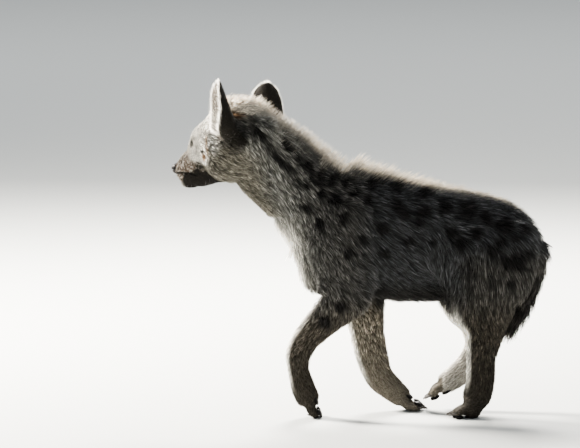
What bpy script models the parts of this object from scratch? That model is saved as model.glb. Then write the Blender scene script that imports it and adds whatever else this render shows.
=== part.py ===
# A spotted hyena cub, life size, walking with its head turned a little to its right.
# Sizes are in metres. The cub faces -X, its left side is -Y, and it stands at z = 0 when it is done.

import math
import random

import bmesh
import bpy
import numpy as np
from mathutils import Matrix, Vector
from mathutils.bvhtree import BVHTree

GAP = 0.0003  # between parts that touch
GRAIN = 0.003  # cell size of the mesh that blends the flesh
BODY_FACES = 4000  # triangles left in the whole body before it is parted
PART_FACES = 60  # islands with fewer triangles are crumbs of the cuts
FLOOR = -0.010  # height of the floor in the sizes below

# Trunk: x, top of the back under the mane, underside, half width
TRUNK = (
    (-0.165, 0.436, 0.266, 0.050),
    (-0.135, 0.464, 0.214, 0.064),
    (-0.102, 0.453, 0.206, 0.073),
    (-0.046, 0.436, 0.205, 0.080),
    (0.009, 0.424, 0.198, 0.084),
    (0.069, 0.416, 0.199, 0.083),
    (0.130, 0.408, 0.211, 0.078),
    (0.185, 0.391, 0.222, 0.070),
    (0.228, 0.358, 0.234, 0.056),
    (0.252, 0.326, 0.250, 0.036),
)

# Neck: x, z, half width, half depth across the neck
NECK = (
    (-0.294, 0.500, 0.046, 0.062),
    (-0.270, 0.482, 0.050, 0.071),
    (-0.231, 0.452, 0.053, 0.078),
    (-0.190, 0.414, 0.058, 0.079),
    (-0.153, 0.373, 0.064, 0.086),
    (-0.112, 0.334, 0.066, 0.089),
)

# Head, in its own frame: nose towards +x, left +y, up +z, with the ears at x = 0
HEAD_AT = Vector((-0.3024, 0.010, 0.498))
HEAD_TURN = math.radians(40)  # to its right, away from straight ahead
HEAD_DROP = math.radians(12)  # nose down
HEAD_ROLL = math.radians(4)  # right side down
# x, top, underside, half width
SKULL = (
    (-0.058, 0.046, -0.056, 0.048),
    (-0.035, 0.066, -0.070, 0.060),
    (0.000, 0.073, -0.077, 0.065),
    (0.032, 0.0645, -0.079, 0.061),
    (0.058, 0.051, -0.077, 0.052),
    (0.078, 0.031, -0.075, 0.0375),
)
MUZZLE = (
    (0.050, 0.028, -0.076, 0.040),
    (0.090, 0.0125, -0.0735, 0.0330),
    (0.111, 0.004, -0.070, 0.0325),
    (0.130, -0.006, -0.0625, 0.0285),
    (0.139, -0.0110, -0.0560, 0.0215),
    (0.1445, -0.0210, -0.0480, 0.0135),
)
EYE = {"x": 0.0770, "y": 0.0227, "z": 0.0060, "radius": 0.0100, "out": math.radians(52)}
NOSE = {"x": 0.1503, "z": -0.0282, "long": 0.0122, "wide": 0.0150, "high": 0.0118}
# How far each cup turns out from straight ahead: the left ear listens to the side
EARS = {
    "left": {"root": (-0.0415, 0.057, 0.004), "tip": (-0.0325, 0.0750, 0.104), "faces": math.radians(56)},
    "right": {"root": (-0.033, 0.057, 0.004), "tip": (-0.024, 0.0750, 0.104), "faces": math.radians(32)},
}
EAR = {"half_width": 0.0310, "depth": 0.010, "wall": 0.0040, "columns": 9, "rows": 7}

# Legs: x, y, z, half width, half depth, from the root down
LEFT_FORE = (
    (-0.098, -0.050, 0.385, 0.024, 0.048),
    (-0.115, -0.056, 0.318, 0.030, 0.062),
    (-0.103, -0.060, 0.258, 0.031, 0.060),
    (-0.101, -0.060, 0.222, 0.029, 0.051),
    (-0.123, -0.058, 0.193, 0.027, 0.042),
    (-0.151, -0.055, 0.163, 0.024, 0.034),
    (-0.175, -0.053, 0.135, 0.022, 0.0295),
    (-0.188, -0.052, 0.108, 0.021, 0.0270),
    (-0.188, -0.051, 0.080, 0.020, 0.0225),
    (-0.181, -0.050, 0.052, 0.021, 0.0240),
    (-0.171, -0.049, 0.026, 0.022, 0.0235),
)
RIGHT_FORE = (
    (-0.098, 0.050, 0.385, 0.024, 0.048),
    (-0.112, 0.056, 0.318, 0.030, 0.060),
    (-0.090, 0.060, 0.258, 0.031, 0.056),
    (-0.071, 0.060, 0.214, 0.029, 0.048),
    (-0.065, 0.056, 0.175, 0.026, 0.041),
    (-0.059, 0.052, 0.132, 0.024, 0.036),
    (-0.050, 0.049, 0.090, 0.023, 0.033),
    (-0.038, 0.047, 0.056, 0.022, 0.029),
    (-0.017, 0.046, 0.034, 0.021, 0.0255),
    (0.004, 0.045, 0.016, 0.021, 0.0215),
)
LEFT_HIND = (
    (0.180, -0.040, 0.345, 0.030, 0.060),
    (0.178, -0.047, 0.305, 0.038, 0.082),
    (0.163, -0.052, 0.262, 0.040, 0.086),
    (0.150, -0.055, 0.218, 0.037, 0.077),
    (0.152, -0.056, 0.181, 0.032, 0.062),
    (0.155, -0.056, 0.152, 0.027, 0.044),
    (0.152, -0.056, 0.124, 0.023, 0.035),
    (0.149, -0.055, 0.095, 0.021, 0.0300),
    (0.148, -0.054, 0.060, 0.020, 0.0290),
    (0.141, -0.053, 0.029, 0.021, 0.0280),
    (0.134, -0.053, 0.012, 0.021, 0.0200),
)
RIGHT_HIND = (
    (0.180, 0.040, 0.345, 0.030, 0.060),
    (0.172, 0.047, 0.305, 0.038, 0.082),
    (0.150, 0.052, 0.262, 0.040, 0.086),
    (0.136, 0.055, 0.218, 0.037, 0.074),
    (0.139, 0.056, 0.181, 0.032, 0.058),
    (0.148, 0.056, 0.148, 0.026, 0.040),
    (0.149, 0.055, 0.114, 0.022, 0.032),
    (0.135, 0.053, 0.083, 0.020, 0.0275),
    (0.112, 0.051, 0.059, 0.020, 0.0250),
    (0.089, 0.050, 0.042, 0.021, 0.0220),
)

# Paws: the ball of the foot, the way the toes point and the way the upper side faces, in x and z
PAWS = {
    "forepaw_left": {
        "ball": (-0.1670, -0.049, 0.0175), "toes": (0.45, -0.893), "upper": (-0.893, -0.45),
        "claws": (-1.0, 0.20),
    },
    "forepaw_right": {
        "ball": (0.0115, 0.045, 0.0070), "toes": (0.90, -0.44), "upper": (-0.44, -0.90),
        "claws": (0.98, 0.05),
    },
    "hindpaw_left": {
        "ball": (0.1290, -0.053, 0.0035), "toes": (-0.995, -0.10), "upper": (-0.10, 0.995),
        "claws": (-0.98, -0.05),
    },
    "hindpaw_right": {
        "ball": (0.0825, 0.050, 0.0350), "toes": (-0.82, -0.572), "upper": (-0.572, 0.82),
        "claws": (-0.95, -0.30),
    },
}
TOE = {"count": 4, "spread": 0.0125, "long": 0.036, "radius": 0.0088}
CLAW = {"long": 0.014, "radius": 0.0026, "sag": 0.003}

# Tail: x, z, half width, half depth
TAIL = (
    (0.2180, 0.338, 0.015, 0.017),
    (0.2430, 0.312, 0.016, 0.018),
    (0.2555, 0.272, 0.015, 0.019),
    (0.2450, 0.232, 0.014, 0.020),
    (0.2290, 0.196, 0.014, 0.021),
    (0.2130, 0.168, 0.013, 0.019),
    (0.2050, 0.150, 0.011, 0.014),
)
LID = {"thick": 0.0022, "half_long": 0.0088, "half_high": 0.0056}
MOUTH = {
    "middle": 0.095,  # where on the head's length the lips turn round
    "half_turn": math.radians(112),
    "front_z": -0.0395,
    "drop": -0.012,
    "groove": 0.0013,
}
# Height along the ear, half width as a share, and how far each edge curls round, in degrees
EAR_SHAPE = (
    (-0.05, 0.55, 150),
    (0.06, 0.64, 140),
    (0.15, 0.84, 118),
    (0.32, 1.00, 92),
    (0.52, 1.04, 72),
    (0.72, 0.93, 62),
    (0.87, 0.72, 55),
    (0.95, 0.46, 50),
    (1.00, 0.12, 45),
)
# Locks of the coat: x and z inside the body, the way they face from straight up, length and rise
CREST = {
    "line": (
        (-0.262, 0.476, 30, 0.036, 62),
        (-0.235, 0.448, 38, 0.034, 62),
        (-0.196, 0.408, 42, 0.033, 60),
        (-0.150, 0.375, 33, 0.036, 56),
        (-0.100, 0.345, 14, 0.041, 48),
        (-0.046, 0.330, 3, 0.038, 44),
        (0.069, 0.310, 0, 0.033, 38),
        (0.150, 0.306, 4, 0.028, 32),
        (0.205, 0.300, 20, 0.024, 26),
    ),
    "bare": 0.036,  # left bare behind the neck's cut, where the neck's locks lie over the torso
    "step": 0.0265,
    "columns": 4,
    "spread": 46,
    "lie": (1, 0, -0.25),
}
BREAST = {
    "line": (
        (-0.258, 0.445, -130, 0.024, 24),
        (-0.225, 0.400, -125, 0.028, 26),
        (-0.190, 0.350, -118, 0.030, 28),
        (-0.150, 0.305, -112, 0.031, 28),
        (-0.110, 0.280, -125, 0.028, 26),
    ),
    "bare": 0.012,
    "step": 0.0270,
    "columns": 4,
    "spread": 50,
    "lie": (0.45, 0, -0.9),
}
SEAM_SPACE = 0.009  # no lock of the neck is rooted nearer than this to its cuts
LOCK = {"wide": 0.020, "thick": 0.0042, "sink": 0.008, "bend": 30, "clear": 0.0035}
BRUSH = {
    "from": 0.56,
    "rows": 4,
    "columns": 4,
    "lock": {"long": 0.032, "wide": 0.015, "thick": 0.0040, "sink": 0.006, "rise": 20, "bend": 26},
}

# Looks of the parts: colour and roughness
FINISHES = {
    "nose": ((0.020, 0.018, 0.018), 0.40),
    "eye": ((0.012, 0.008, 0.006), 0.12),
    "claw": ((0.045, 0.036, 0.030), 0.45),
    "ear": ((0.060, 0.045, 0.035), 0.90),
    "tail": ((0.040, 0.032, 0.028), 0.90),
    "head": ((0.200, 0.165, 0.125), 0.90),
    "coat": ((0.130, 0.110, 0.088), 0.90),
}

# Cuts: a disc's middle, axis and radius
CUTS = (
    ((-0.150, 0, 0.370), (0.70, 0, -0.71), 0.150),  # neck from torso
    ((-0.238, -0.016, 0.480), (0.90, -0.30, -0.32), 0.110),  # head from neck
    ((-0.131, -0.057, 0.184), (-0.66, 0, -0.75), 0.050),  # left elbow
    ((-0.188, -0.051, 0.080), (0, 0, -1), 0.036),  # left wrist
    ((-0.066, 0.057, 0.182), (0.10, 0, -1), 0.049),  # right elbow
    ((-0.029, 0.047, 0.043), (0.75, 0, -0.66), 0.036),  # right wrist
    ((0.153, -0.056, 0.172), (0.02, 0, -1), 0.066),  # left knee
    ((0.148, -0.054, 0.053), (-0.10, 0, -1), 0.040),  # left hock
    ((0.141, 0.056, 0.170), (0.15, 0, -1), 0.062),  # right knee
    ((0.103, 0.051, 0.052), (-0.76, 0, -0.65), 0.036),  # right hock
)
# Middle, half length, half width, height of the dome above it and reach of the skirt below it
LEG_DOMES = (
    ((-0.106, -0.100, 0.214), 0.086, 0.080, 0.080, -0.016),
    ((-0.082, 0.102, 0.214), 0.090, 0.084, 0.080, -0.018),
    ((0.162, -0.108, 0.225), 0.110, 0.100, 0.110, -0.035),
    ((0.148, 0.108, 0.225), 0.110, 0.100, 0.110, -0.035),
)
# Roughly the middle of each part, which names it
BODY_PARTS = {
    "torso": (0.03, 0, 0.32),
    "neck": (-0.20, 0, 0.41),
    "head": (-0.34, 0.03, 0.48),
    "foreleg_left_upper": (-0.11, -0.06, 0.24),
    "foreleg_left_lower": (-0.165, -0.055, 0.14),
    "forepaw_left": (-0.18, -0.05, 0.045),
    "foreleg_right_upper": (-0.09, 0.06, 0.24),
    "foreleg_right_lower": (-0.048, 0.05, 0.115),
    "forepaw_right": (0.005, 0.045, 0.022),
    "hindleg_left_upper": (0.16, -0.06, 0.24),
    "hindleg_left_lower": (0.15, -0.055, 0.12),
    "hindpaw_left": (0.128, -0.053, 0.026),
    "hindleg_right_upper": (0.15, 0.06, 0.24),
    "hindleg_right_lower": (0.13, 0.055, 0.12),
    "hindpaw_right": (0.075, 0.05, 0.048),
}


def clear_scene():
    for obj in list(bpy.data.objects):
        bpy.data.objects.remove(obj)


def material(name, colour, roughness):
    finish = bpy.data.materials.new(name)
    finish.use_nodes = True
    shader = finish.node_tree.nodes["Principled BSDF"]
    shader.inputs["Base Color"].default_value = (*colour, 1)
    shader.inputs["Roughness"].default_value = roughness
    return finish


def new_object(name, mesh, finish=None):
    obj = bpy.data.objects.new(name, mesh)
    bpy.context.scene.collection.objects.link(obj)
    if finish:
        mesh.materials.clear()
        mesh.materials.append(finish)
    return obj


def from_bmesh(name, bm, finish=None):
    bmesh.ops.triangulate(bm, faces=bm.faces)
    bmesh.ops.recalc_face_normals(bm, faces=bm.faces)
    if bm.calc_volume(signed=True) < 0:
        bmesh.ops.reverse_faces(bm, faces=bm.faces)
    mesh = bpy.data.meshes.new(name)
    bm.to_mesh(mesh)
    bm.free()
    return new_object(name, mesh, finish)


def settle(obj):
    # Makes the object's modifiers part of its mesh.
    graph = bpy.context.evaluated_depsgraph_get()
    mesh = bpy.data.meshes.new_from_object(obj.evaluated_get(graph))
    obj.modifiers.clear()
    obj.data = mesh
    return obj


def spline(rows, steps):
    # Points of a smooth curve through the rows, which hold places and radii alike.
    rows = np.array(rows, float)
    padded = np.vstack([2 * rows[0] - rows[1], rows, 2 * rows[-1] - rows[-2]])
    points = []
    for i in range(len(rows) - 1):
        a, b, c, d = padded[i : i + 4]
        for t in np.arange(steps) / steps:
            points.append(
                0.5 * (2 * b + (c - a) * t + (2 * a - 5 * b + 4 * c - d) * t**2
                       + (3 * b - a - 3 * c + d) * t**3)
            )
    points.append(rows[-1])
    return np.array(points)


def rounded_ends(places, radii, bulge):
    # Adds shrinking rings past both ends, so that a tube ends in a dome.
    first, last = places[0] - places[1], places[-1] - places[-2]
    first, last = first / np.linalg.norm(first), last / np.linalg.norm(last)
    turns = np.radians([28, 55, 78])
    head = [places[0] + first * bulge * radii[0].min() * math.sin(a) for a in turns[::-1]]
    tail = [places[-1] + last * bulge * radii[-1].min() * math.sin(a) for a in turns]
    head_r = [radii[0] * math.cos(a) for a in turns[::-1]]
    tail_r = [radii[-1] * math.cos(a) for a in turns]
    return np.vstack([head, places, tail]), np.vstack([head_r, radii, tail_r])


def tube(bm, places, radii, side, sides=16):
    # Skins a closed tube round a line: each ring has one radius along side and one across it.
    tangents = np.gradient(np.array(places, float), axis=0)
    frames = []
    for place, radius, tangent in zip(places, radii, tangents):
        along = Vector(tangent).normalized()
        across = (Vector(side) - along * along.dot(Vector(side))).normalized()
        up = along.cross(across)
        frame = Matrix((across * radius[0], up * radius[1], along)).transposed().to_4x4()
        frame.translation = Vector(place)
        frames.append(frame)
    made = bmesh.ops.create_circle(bm, segments=sides, radius=1, matrix=frames[0])
    ring = list({edge for vert in made["verts"] for edge in vert.link_edges})
    ends = [ring]
    for before, after in zip(frames, frames[1:]):
        grown = bmesh.ops.extrude_edge_only(bm, edges=ring)["geom"]
        ring = [g for g in grown if isinstance(g, bmesh.types.BMEdge)]
        moved = [g for g in grown if isinstance(g, bmesh.types.BMVert)]
        bmesh.ops.transform(bm, matrix=after @ before.inverted(), verts=moved)
    ends.append(ring)
    for end in ends:
        bmesh.ops.edgeloop_fill(bm, edges=end)


def limb(bm, rows, side=(0, 1, 0), steps=3, sides=16):
    # A tube through rows of x, y, z, half width, half depth, with domed ends.
    points = spline(rows, steps)
    places, radii = rounded_ends(points[:, :3], points[:, 3:5], 0.7)
    tube(bm, places, radii, side, sides)


def ball(bm, centre, radii, frame=Matrix(), turn=Matrix()):
    size = Matrix.Diagonal((*radii, 1))
    place = frame @ Matrix.Translation(centre) @ turn @ size
    return bmesh.ops.create_icosphere(bm, subdivisions=3, radius=1, matrix=place)["verts"]


def head_frame():
    turn = Matrix.Rotation(math.pi - HEAD_TURN, 4, "Z")
    drop = Matrix.Rotation(HEAD_DROP, 4, "Y")
    roll = Matrix.Rotation(HEAD_ROLL, 4, "X")
    return Matrix.Translation(HEAD_AT) @ turn @ drop @ roll


def upright(rows, y=0.0):
    # Turns rows of x, top, underside, half width into rows for limb().
    return [(x, y, (top + low) / 2, wide, (top - low) / 2) for x, top, low, wide in rows]


def head_flesh(bm):
    frame = head_frame()
    part = bmesh.new()
    limb(part, upright(SKULL), sides=20)
    limb(part, upright(MUZZLE), sides=20)
    for left in (1, -1):
        ball(part, (0.012, 0.034 * left, -0.034), (0.040, 0.031, 0.036))  # jaw muscle
        ball(part, (0.062, 0.030 * left, -0.018), (0.030, 0.019, 0.017))  # cheekbone
        ball(part, (0.0645, 0.021 * left, 0.0235), (0.016, 0.014, 0.011))  # brow
        ball(part, (0.128, 0.013 * left, -0.036), (0.0150, 0.0158, 0.0150))  # whisker pad
        ball(part, (-0.024, 0.050 * left, 0.016), (0.026, 0.018, 0.034))  # ear root
    ball(part, (0.120, 0, -0.0585), (0.025, 0.019, 0.012))  # chin
    part.transform(frame)
    add_part(bm, part)


def add_part(bm, part):
    mesh = bpy.data.meshes.new("piece")
    part.to_mesh(mesh)
    part.free()
    bm.from_mesh(mesh)
    bpy.data.meshes.remove(mesh)


def paw_frame(paw):
    toes = Vector((paw["toes"][0], 0, paw["toes"][1])).normalized()
    upper = Vector((paw["upper"][0], 0, paw["upper"][1])).normalized()
    frame = Matrix((toes, upper.cross(toes), upper)).transposed().to_4x4()
    frame.translation = Vector(paw["ball"])
    return frame


def toe_line(number):
    # The middle line of one toe in its paw's frame, and its end.
    middle = (TOE["count"] - 1) / 2
    off = number - middle
    reach = TOE["long"] * (1.0 if abs(off) < 1 else 0.84)
    y = off * TOE["spread"]
    return [(-0.012, y * 0.8, 0.002), (reach * 0.35, y, 0.0045), (reach * 0.75, y * 1.06, -0.001)]


def paw_flesh(bm, paw):
    part = bmesh.new()
    ball(part, (-0.004, 0, -0.001), (0.020, 0.0245, 0.0125))
    ball(part, (-0.004, 0, -0.0085), (0.014, 0.017, 0.008))
    for number in range(TOE["count"]):
        line = [(*p, TOE["radius"] * 0.82, TOE["radius"]) for p in toe_line(number)]
        limb(part, line, sides=12)
    part.transform(paw_frame(paw))
    add_part(bm, part)


def flesh():
    # The whole body as one blended mesh, standing on flats cut at the floor.
    bm = bmesh.new()
    limb(bm, upright(TRUNK), sides=24)
    limb(bm, [(x, 0, z, wide, deep) for x, z, wide, deep in NECK], sides=24)
    head_flesh(bm)
    for leg in (LEFT_FORE, RIGHT_FORE, LEFT_HIND, RIGHT_HIND):
        limb(bm, leg, sides=20)
    for paw in PAWS.values():
        paw_flesh(bm, paw)
    body = from_bmesh("body", bm)
    blend = body.modifiers.new("blend", "REMESH")
    blend.mode = "VOXEL"
    blend.voxel_size = GRAIN
    smooth = body.modifiers.new("smooth", "SMOOTH")
    smooth.factor = 0.5
    smooth.iterations = 6
    settle(body)
    return body


def thin(body):
    # Fewer triangles on the trunk than on the head and paws.
    group = body.vertex_groups.new(name="fine")
    to_head = head_frame().inverted()
    for vert in body.data.vertices:
        forward = (to_head @ vert.co).x
        on_head = min(1.0, max(0.0, (forward + 0.07) / 0.10)) if vert.co.z > 0.35 else 0.0
        on_paw = max(0.0, 1 - vert.co.z / 0.07)
        group.add([vert.index], min(1.0, 0.12 + 0.55 * on_head + 0.6 * on_paw), "REPLACE")
    fewer = body.modifiers.new("fewer", "DECIMATE")
    fewer.ratio = BODY_FACES / (2 * len(body.data.polygons))
    fewer.vertex_group = "fine"
    fewer.vertex_group_factor = 1.0
    fewer.invert_vertex_group = True
    settle(body)
    body.vertex_groups.clear()
    return body


def stand(body):
    # Cuts the soles flat at the floor.
    bm = bmesh.new()
    bm.from_mesh(body.data)
    everything = list(bm.verts) + list(bm.edges) + list(bm.faces)
    bmesh.ops.bisect_plane(
        bm, geom=everything, plane_co=(0, 0, FLOOR), plane_no=(0, 0, -1), clear_outer=True, dist=1e-6
    )
    rims = [edge for edge in bm.edges if edge.is_boundary]
    bmesh.ops.holes_fill(bm, edges=rims, sides=0)
    bm.to_mesh(body.data)
    bm.free()


def polish(obj):
    # Triangles only, with no slivers left by the cuts.
    bm = bmesh.new()
    bm.from_mesh(obj.data)
    bmesh.ops.dissolve_degenerate(bm, edges=bm.edges, dist=GAP / 10)
    bmesh.ops.triangulate(bm, faces=bm.faces)
    bm.to_mesh(obj.data)
    bm.free()
    return obj


def boolean(obj, others, operation, solver="EXACT"):
    # Joins closed meshes to the object, or cuts them out of it, then removes them.
    # The result is kept in triangles, so that no bent face is read in two ways.
    group = bpy.data.collections.new("operands")
    for other in others:
        group.objects.link(other)
    step = obj.modifiers.new("step", "BOOLEAN")
    step.operand_type = "COLLECTION"
    step.collection = group
    step.operation = operation
    step.solver = solver
    settle(obj)
    for other in others:
        bpy.data.objects.remove(other)
    bpy.data.collections.remove(group)
    return polish(obj)


def islands(bm):
    # The connected groups of faces, largest first.
    groups, seen = [], set()
    for start in bm.faces:
        if start in seen:
            continue
        group, queue = [], [start]
        seen.add(start)
        while queue:
            face = queue.pop()
            group.append(face)
            for edge in face.edges:
                for near in edge.link_faces if len(edge.link_faces) == 2 else ():
                    if near not in seen:
                        seen.add(near)
                        queue.append(near)
        groups.append(group)
    return sorted(groups, key=len, reverse=True)


def volume_middle(faces):
    total, middle = 0.0, Vector()
    for face in faces:
        corners = [vert.co for vert in face.verts]
        for a, b in zip(corners[1:], corners[2:]):
            part = corners[0].dot(a.cross(b)) / 6
            total += part
            middle += (corners[0] + a + b) * part / 4
    return middle / total


def keep_largest(obj):
    bm = bmesh.new()
    bm.from_mesh(obj.data)
    loose = [face for group in islands(bm)[1:] for face in group]
    bmesh.ops.delete(bm, geom=loose, context="FACES")
    bm.to_mesh(obj.data)
    bm.free()
    return obj


def grown(obj, by=GAP):
    # A copy of a mesh, a little larger all over, to cut its neighbours clear of it.
    mesh = obj.data.copy()
    normals = [vert.normal.copy() for vert in mesh.vertices]
    for vert, normal in zip(mesh.vertices, normals):
        vert.co += normal * by
    return new_object("clearance", mesh)


def bed_in(host, guest):
    # Cuts a socket in the host for the guest's root, with the gap all round.
    return keep_largest(boolean(host, [grown(guest)], "DIFFERENCE"))


def disc(centre, axis, radius):
    # A round cut, as thin as the gap.
    bm = bmesh.new()
    axis = Vector(axis).normalized()
    place = Matrix.Translation(centre) @ axis.to_track_quat("Z", "Y").to_matrix().to_4x4()
    bmesh.ops.create_cone(
        bm, cap_ends=True, segments=24, radius1=radius, radius2=radius, depth=GAP, matrix=place
    )
    return from_bmesh("cut", bm)


def thimble(centre, long, wide, top, low):
    # A domed cut round the top of a leg: a cap of the given height over a short skirt.
    bm = bmesh.new()
    rings = 5
    outer, inner = [], []
    for wall, out in ((outer, GAP / 2), (inner, -GAP / 2)):
        for i in range(rings + 1):
            turn = math.pi / 2 * i / rings
            wall.append(Vector(((wide + out) * math.sin(turn), 0, (top + out) * math.cos(turn))))
        wall.append(Vector((wide + out, 0, low)))
    profile = outer + inner[::-1]
    verts = [bm.verts.new(point) for point in profile]
    edges = [bm.edges.new(pair) for pair in zip(verts, verts[1:])]
    bmesh.ops.spin(
        bm, geom=verts + edges, cent=(0, 0, 0), axis=(0, 0, 1), angle=math.tau, steps=28, use_merge=True
    )
    bmesh.ops.remove_doubles(bm, verts=bm.verts, dist=GAP / 20)
    bmesh.ops.scale(bm, vec=(long / wide, 1, 1), verts=bm.verts)
    bmesh.ops.translate(bm, vec=centre, verts=bm.verts)
    return from_bmesh("cut", bm)


def part_body(body):
    # Cuts the body into its named parts.
    cuts = [disc(place, axis, radius) for place, axis, radius in CUTS]
    cuts += [thimble(*dome) for dome in LEG_DOMES]
    for cut in cuts:
        boolean(body, [cut], "DIFFERENCE")
    bm = bmesh.new()
    bm.from_mesh(body.data)
    found = {}
    for group in islands(bm):
        if len(group) < PART_FACES:
            continue
        middle = volume_middle(group)
        name = min(BODY_PARTS, key=lambda key: (Vector(BODY_PARTS[key]) - middle).length)
        found.setdefault(name, group)
    parts = {}
    for name, group in found.items():
        keep = set(group)
        copy = bm.copy()
        copy.faces.ensure_lookup_table()
        bm.faces.index_update()
        drop = [copy.faces[face.index] for face in bm.faces if face not in keep]
        bmesh.ops.delete(copy, geom=drop, context="FACES")
        parts[name] = from_bmesh(name, copy)
    bm.free()
    bpy.data.objects.remove(body)
    return parts


def out_frame(centre, out):
    # A frame at a point of the head whose x axis looks along out.
    out = Vector(out).normalized()
    across = Vector((0, 0, 1)).cross(out).normalized()
    frame = Matrix((out, across, out.cross(across))).transposed().to_4x4()
    frame.translation = Vector(centre)
    return head_frame() @ frame


def round_piece(name, frame, centre, radii, detail=3):
    bm = bmesh.new()
    place = frame @ Matrix.Translation(centre) @ Matrix.Diagonal((*radii, 1))
    bmesh.ops.create_icosphere(bm, subdivisions=detail, radius=1, matrix=place)
    return from_bmesh(name, bm)


def eye_and_lids(head, side):
    # The ball of the eye in its socket, and lids that leave an almond of it bare.
    name, left = side
    centre = (EYE["x"], EYE["y"] * left, EYE["z"])
    look = (math.cos(EYE["out"]), math.sin(EYE["out"]) * left, 0.06)
    frame = out_frame(centre, look)
    lid = EYE["radius"] + LID["thick"]
    boolean(head, [round_piece("lids", frame, (0, 0, 0), (lid, lid * 1.12, lid), 2)], "UNION")
    socket = EYE["radius"] + GAP
    boolean(head, [round_piece("socket", frame, (0, 0, 0), (socket, socket, socket))], "DIFFERENCE")
    opening = round_piece(
        "opening", frame, (lid, 0, -0.0004), (lid * 0.9, LID["half_long"], LID["half_high"]), 2
    )
    boolean(head, [opening], "DIFFERENCE")
    radii = (EYE["radius"], EYE["radius"], EYE["radius"])
    return round_piece("eye_" + name, frame, (0, 0, 0), radii)


def nose_piece(head):
    # The bare nose, set in the end of the muzzle, with two nostrils.
    frame = head_frame()
    centre = (NOSE["x"], 0, NOSE["z"])
    radii = Vector((NOSE["long"], NOSE["wide"], NOSE["high"]))
    bed = round_piece("bed", frame, centre, radii + Vector((GAP, GAP, GAP)), 2)
    boolean(head, [bed], "DIFFERENCE")
    nose = round_piece("nose", frame, centre, radii, 2)
    holes = []
    for left in (1, -1):
        look = (0.80, 0.60 * left, -0.05)
        at = (NOSE["x"] + 0.0085, 0.0068 * left, NOSE["z"] + 0.0005)
        holes.append(round_piece("nostril", out_frame(at, look), (0, 0, 0), (0.006, 0.0022, 0.0030), 2))
    return boolean(nose, holes, "DIFFERENCE")


def mouth(head):
    # A groove round the muzzle that parts the lips.
    frame = head_frame()
    surface = BVHTree.FromObject(head, bpy.context.evaluated_depsgraph_get())
    places = []
    turns = 12
    for i in range(turns + 1):
        turn = MOUTH["half_turn"] * (2 * i / turns - 1)
        back = abs(turn) / MOUTH["half_turn"]
        middle = Vector((MOUTH["middle"], 0, MOUTH["front_z"] + MOUTH["drop"] * back**2))
        out = Vector((math.cos(turn), math.sin(turn), 0))
        start = frame @ (middle + out * 0.1)
        hit = surface.ray_cast(start, frame.to_3x3() @ -out)[0]
        places.append(frame.inverted() @ hit)
    bm = bmesh.new()
    radii = np.full((len(places), 2), MOUTH["groove"])
    radii[0] = radii[-1] = MOUTH["groove"] * 0.4
    tube(bm, np.array([tuple(place) for place in places]), radii, (0, 0, 1), 4)
    bm.transform(frame)
    return boolean(head, [from_bmesh("lips", bm)], "DIFFERENCE")


def ear_piece(head, side):
    # A thin cup, rolled nearly shut at its root and open and rounded at its tip.
    name, left = side
    mirror = Vector((1, left, 1))
    root = Vector(EARS[name]["root"]) * mirror
    tip = Vector(EARS[name]["tip"]) * mirror
    turn_out = EARS[name]["faces"]
    up = (tip - root).normalized()
    face = Vector((math.cos(turn_out), math.sin(turn_out) * left, 0))
    face = (face - up * face.dot(up)).normalized()
    across = up.cross(face)
    heights, half_widths, curls = zip(*EAR_SHAPE)
    bm = bmesh.new()
    columns, rows = EAR["columns"] - 1, EAR["rows"] - 1
    made = bmesh.ops.create_grid(bm, x_segments=columns, y_segments=rows, size=1)["verts"]
    for vert in made:
        column, row = vert.co.x, (vert.co.y + 1) / 2
        height = heights[0] + (1 - heights[0]) * row**0.85
        wide = np.interp(height, heights, half_widths) * EAR["half_width"]
        curl = math.radians(np.interp(height, heights, curls))
        radius = wide / math.sin(min(curl, math.pi / 2))
        turn = column * curl
        forward = radius * (1 - math.cos(turn)) - EAR["depth"] * (1 - 0.5 * max(0.0, height))
        vert.co = root + up * (tip - root).length * height
        vert.co += across * radius * math.sin(turn) + face * forward
    bm.transform(head_frame())
    ear = from_bmesh("ear_" + name, bm)
    wall = ear.modifiers.new("wall", "SOLIDIFY")
    wall.thickness = EAR["wall"]
    wall.offset = 0
    polish(settle(ear))
    bed_in(head, ear)
    return ear


def claw_pieces(paws):
    # One short curved claw in each toe, with a socket for its root.
    claws = []
    for name, paw in PAWS.items():
        frame = paw_frame(paw)
        ahead = frame.to_3x3().inverted() @ Vector((paw["claws"][0], 0, paw["claws"][1])).normalized()
        down = frame.to_3x3().inverted() @ Vector((0, 0, -1))
        for number in range(TOE["count"]):
            start = Vector(toe_line(number)[-1]) + ahead * 0.003
            bm = bmesh.new()
            rows = []
            for t in (0.0, 0.4, 0.75, 1.0):
                place = start + ahead * CLAW["long"] * t + down * CLAW["sag"] * t * t
                rows.append((*place, CLAW["radius"] * (1 - 0.8 * t), CLAW["radius"] * (1.2 - 0.95 * t)))
            points = np.array(rows)
            tube(bm, points[:, :3], points[:, 3:], (0, 1, 0), 6)
            bm.transform(frame)
            claw = from_bmesh(f"claw_{name}_{number + 1}", bm)
            bed_in(paws[name], claw)
            claws.append(claw)
    return claws


def tail_piece():
    bm = bmesh.new()
    limb(bm, [(x, 0, z, wide, deep) for x, z, wide, deep in TAIL], sides=12, steps=2)
    return from_bmesh("tail", bm)


def lock_line(root, out, lie, long, rise, size):
    # The middle line of a lock: from its sunk root it rises off the surface and bends over.
    points = [root - (lie * math.cos(rise) + out * math.sin(rise)) * size["sink"]]
    turn = rise
    for share in (0.42, 0.33, 0.25):
        ahead = lie * math.cos(turn) + out * math.sin(turn)
        sunk = size["sink"] if len(points) == 1 else 0
        points.append(points[-1] + ahead * (long * share + sunk))
        turn -= math.radians(size["bend"]) / 3
    return points


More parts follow.
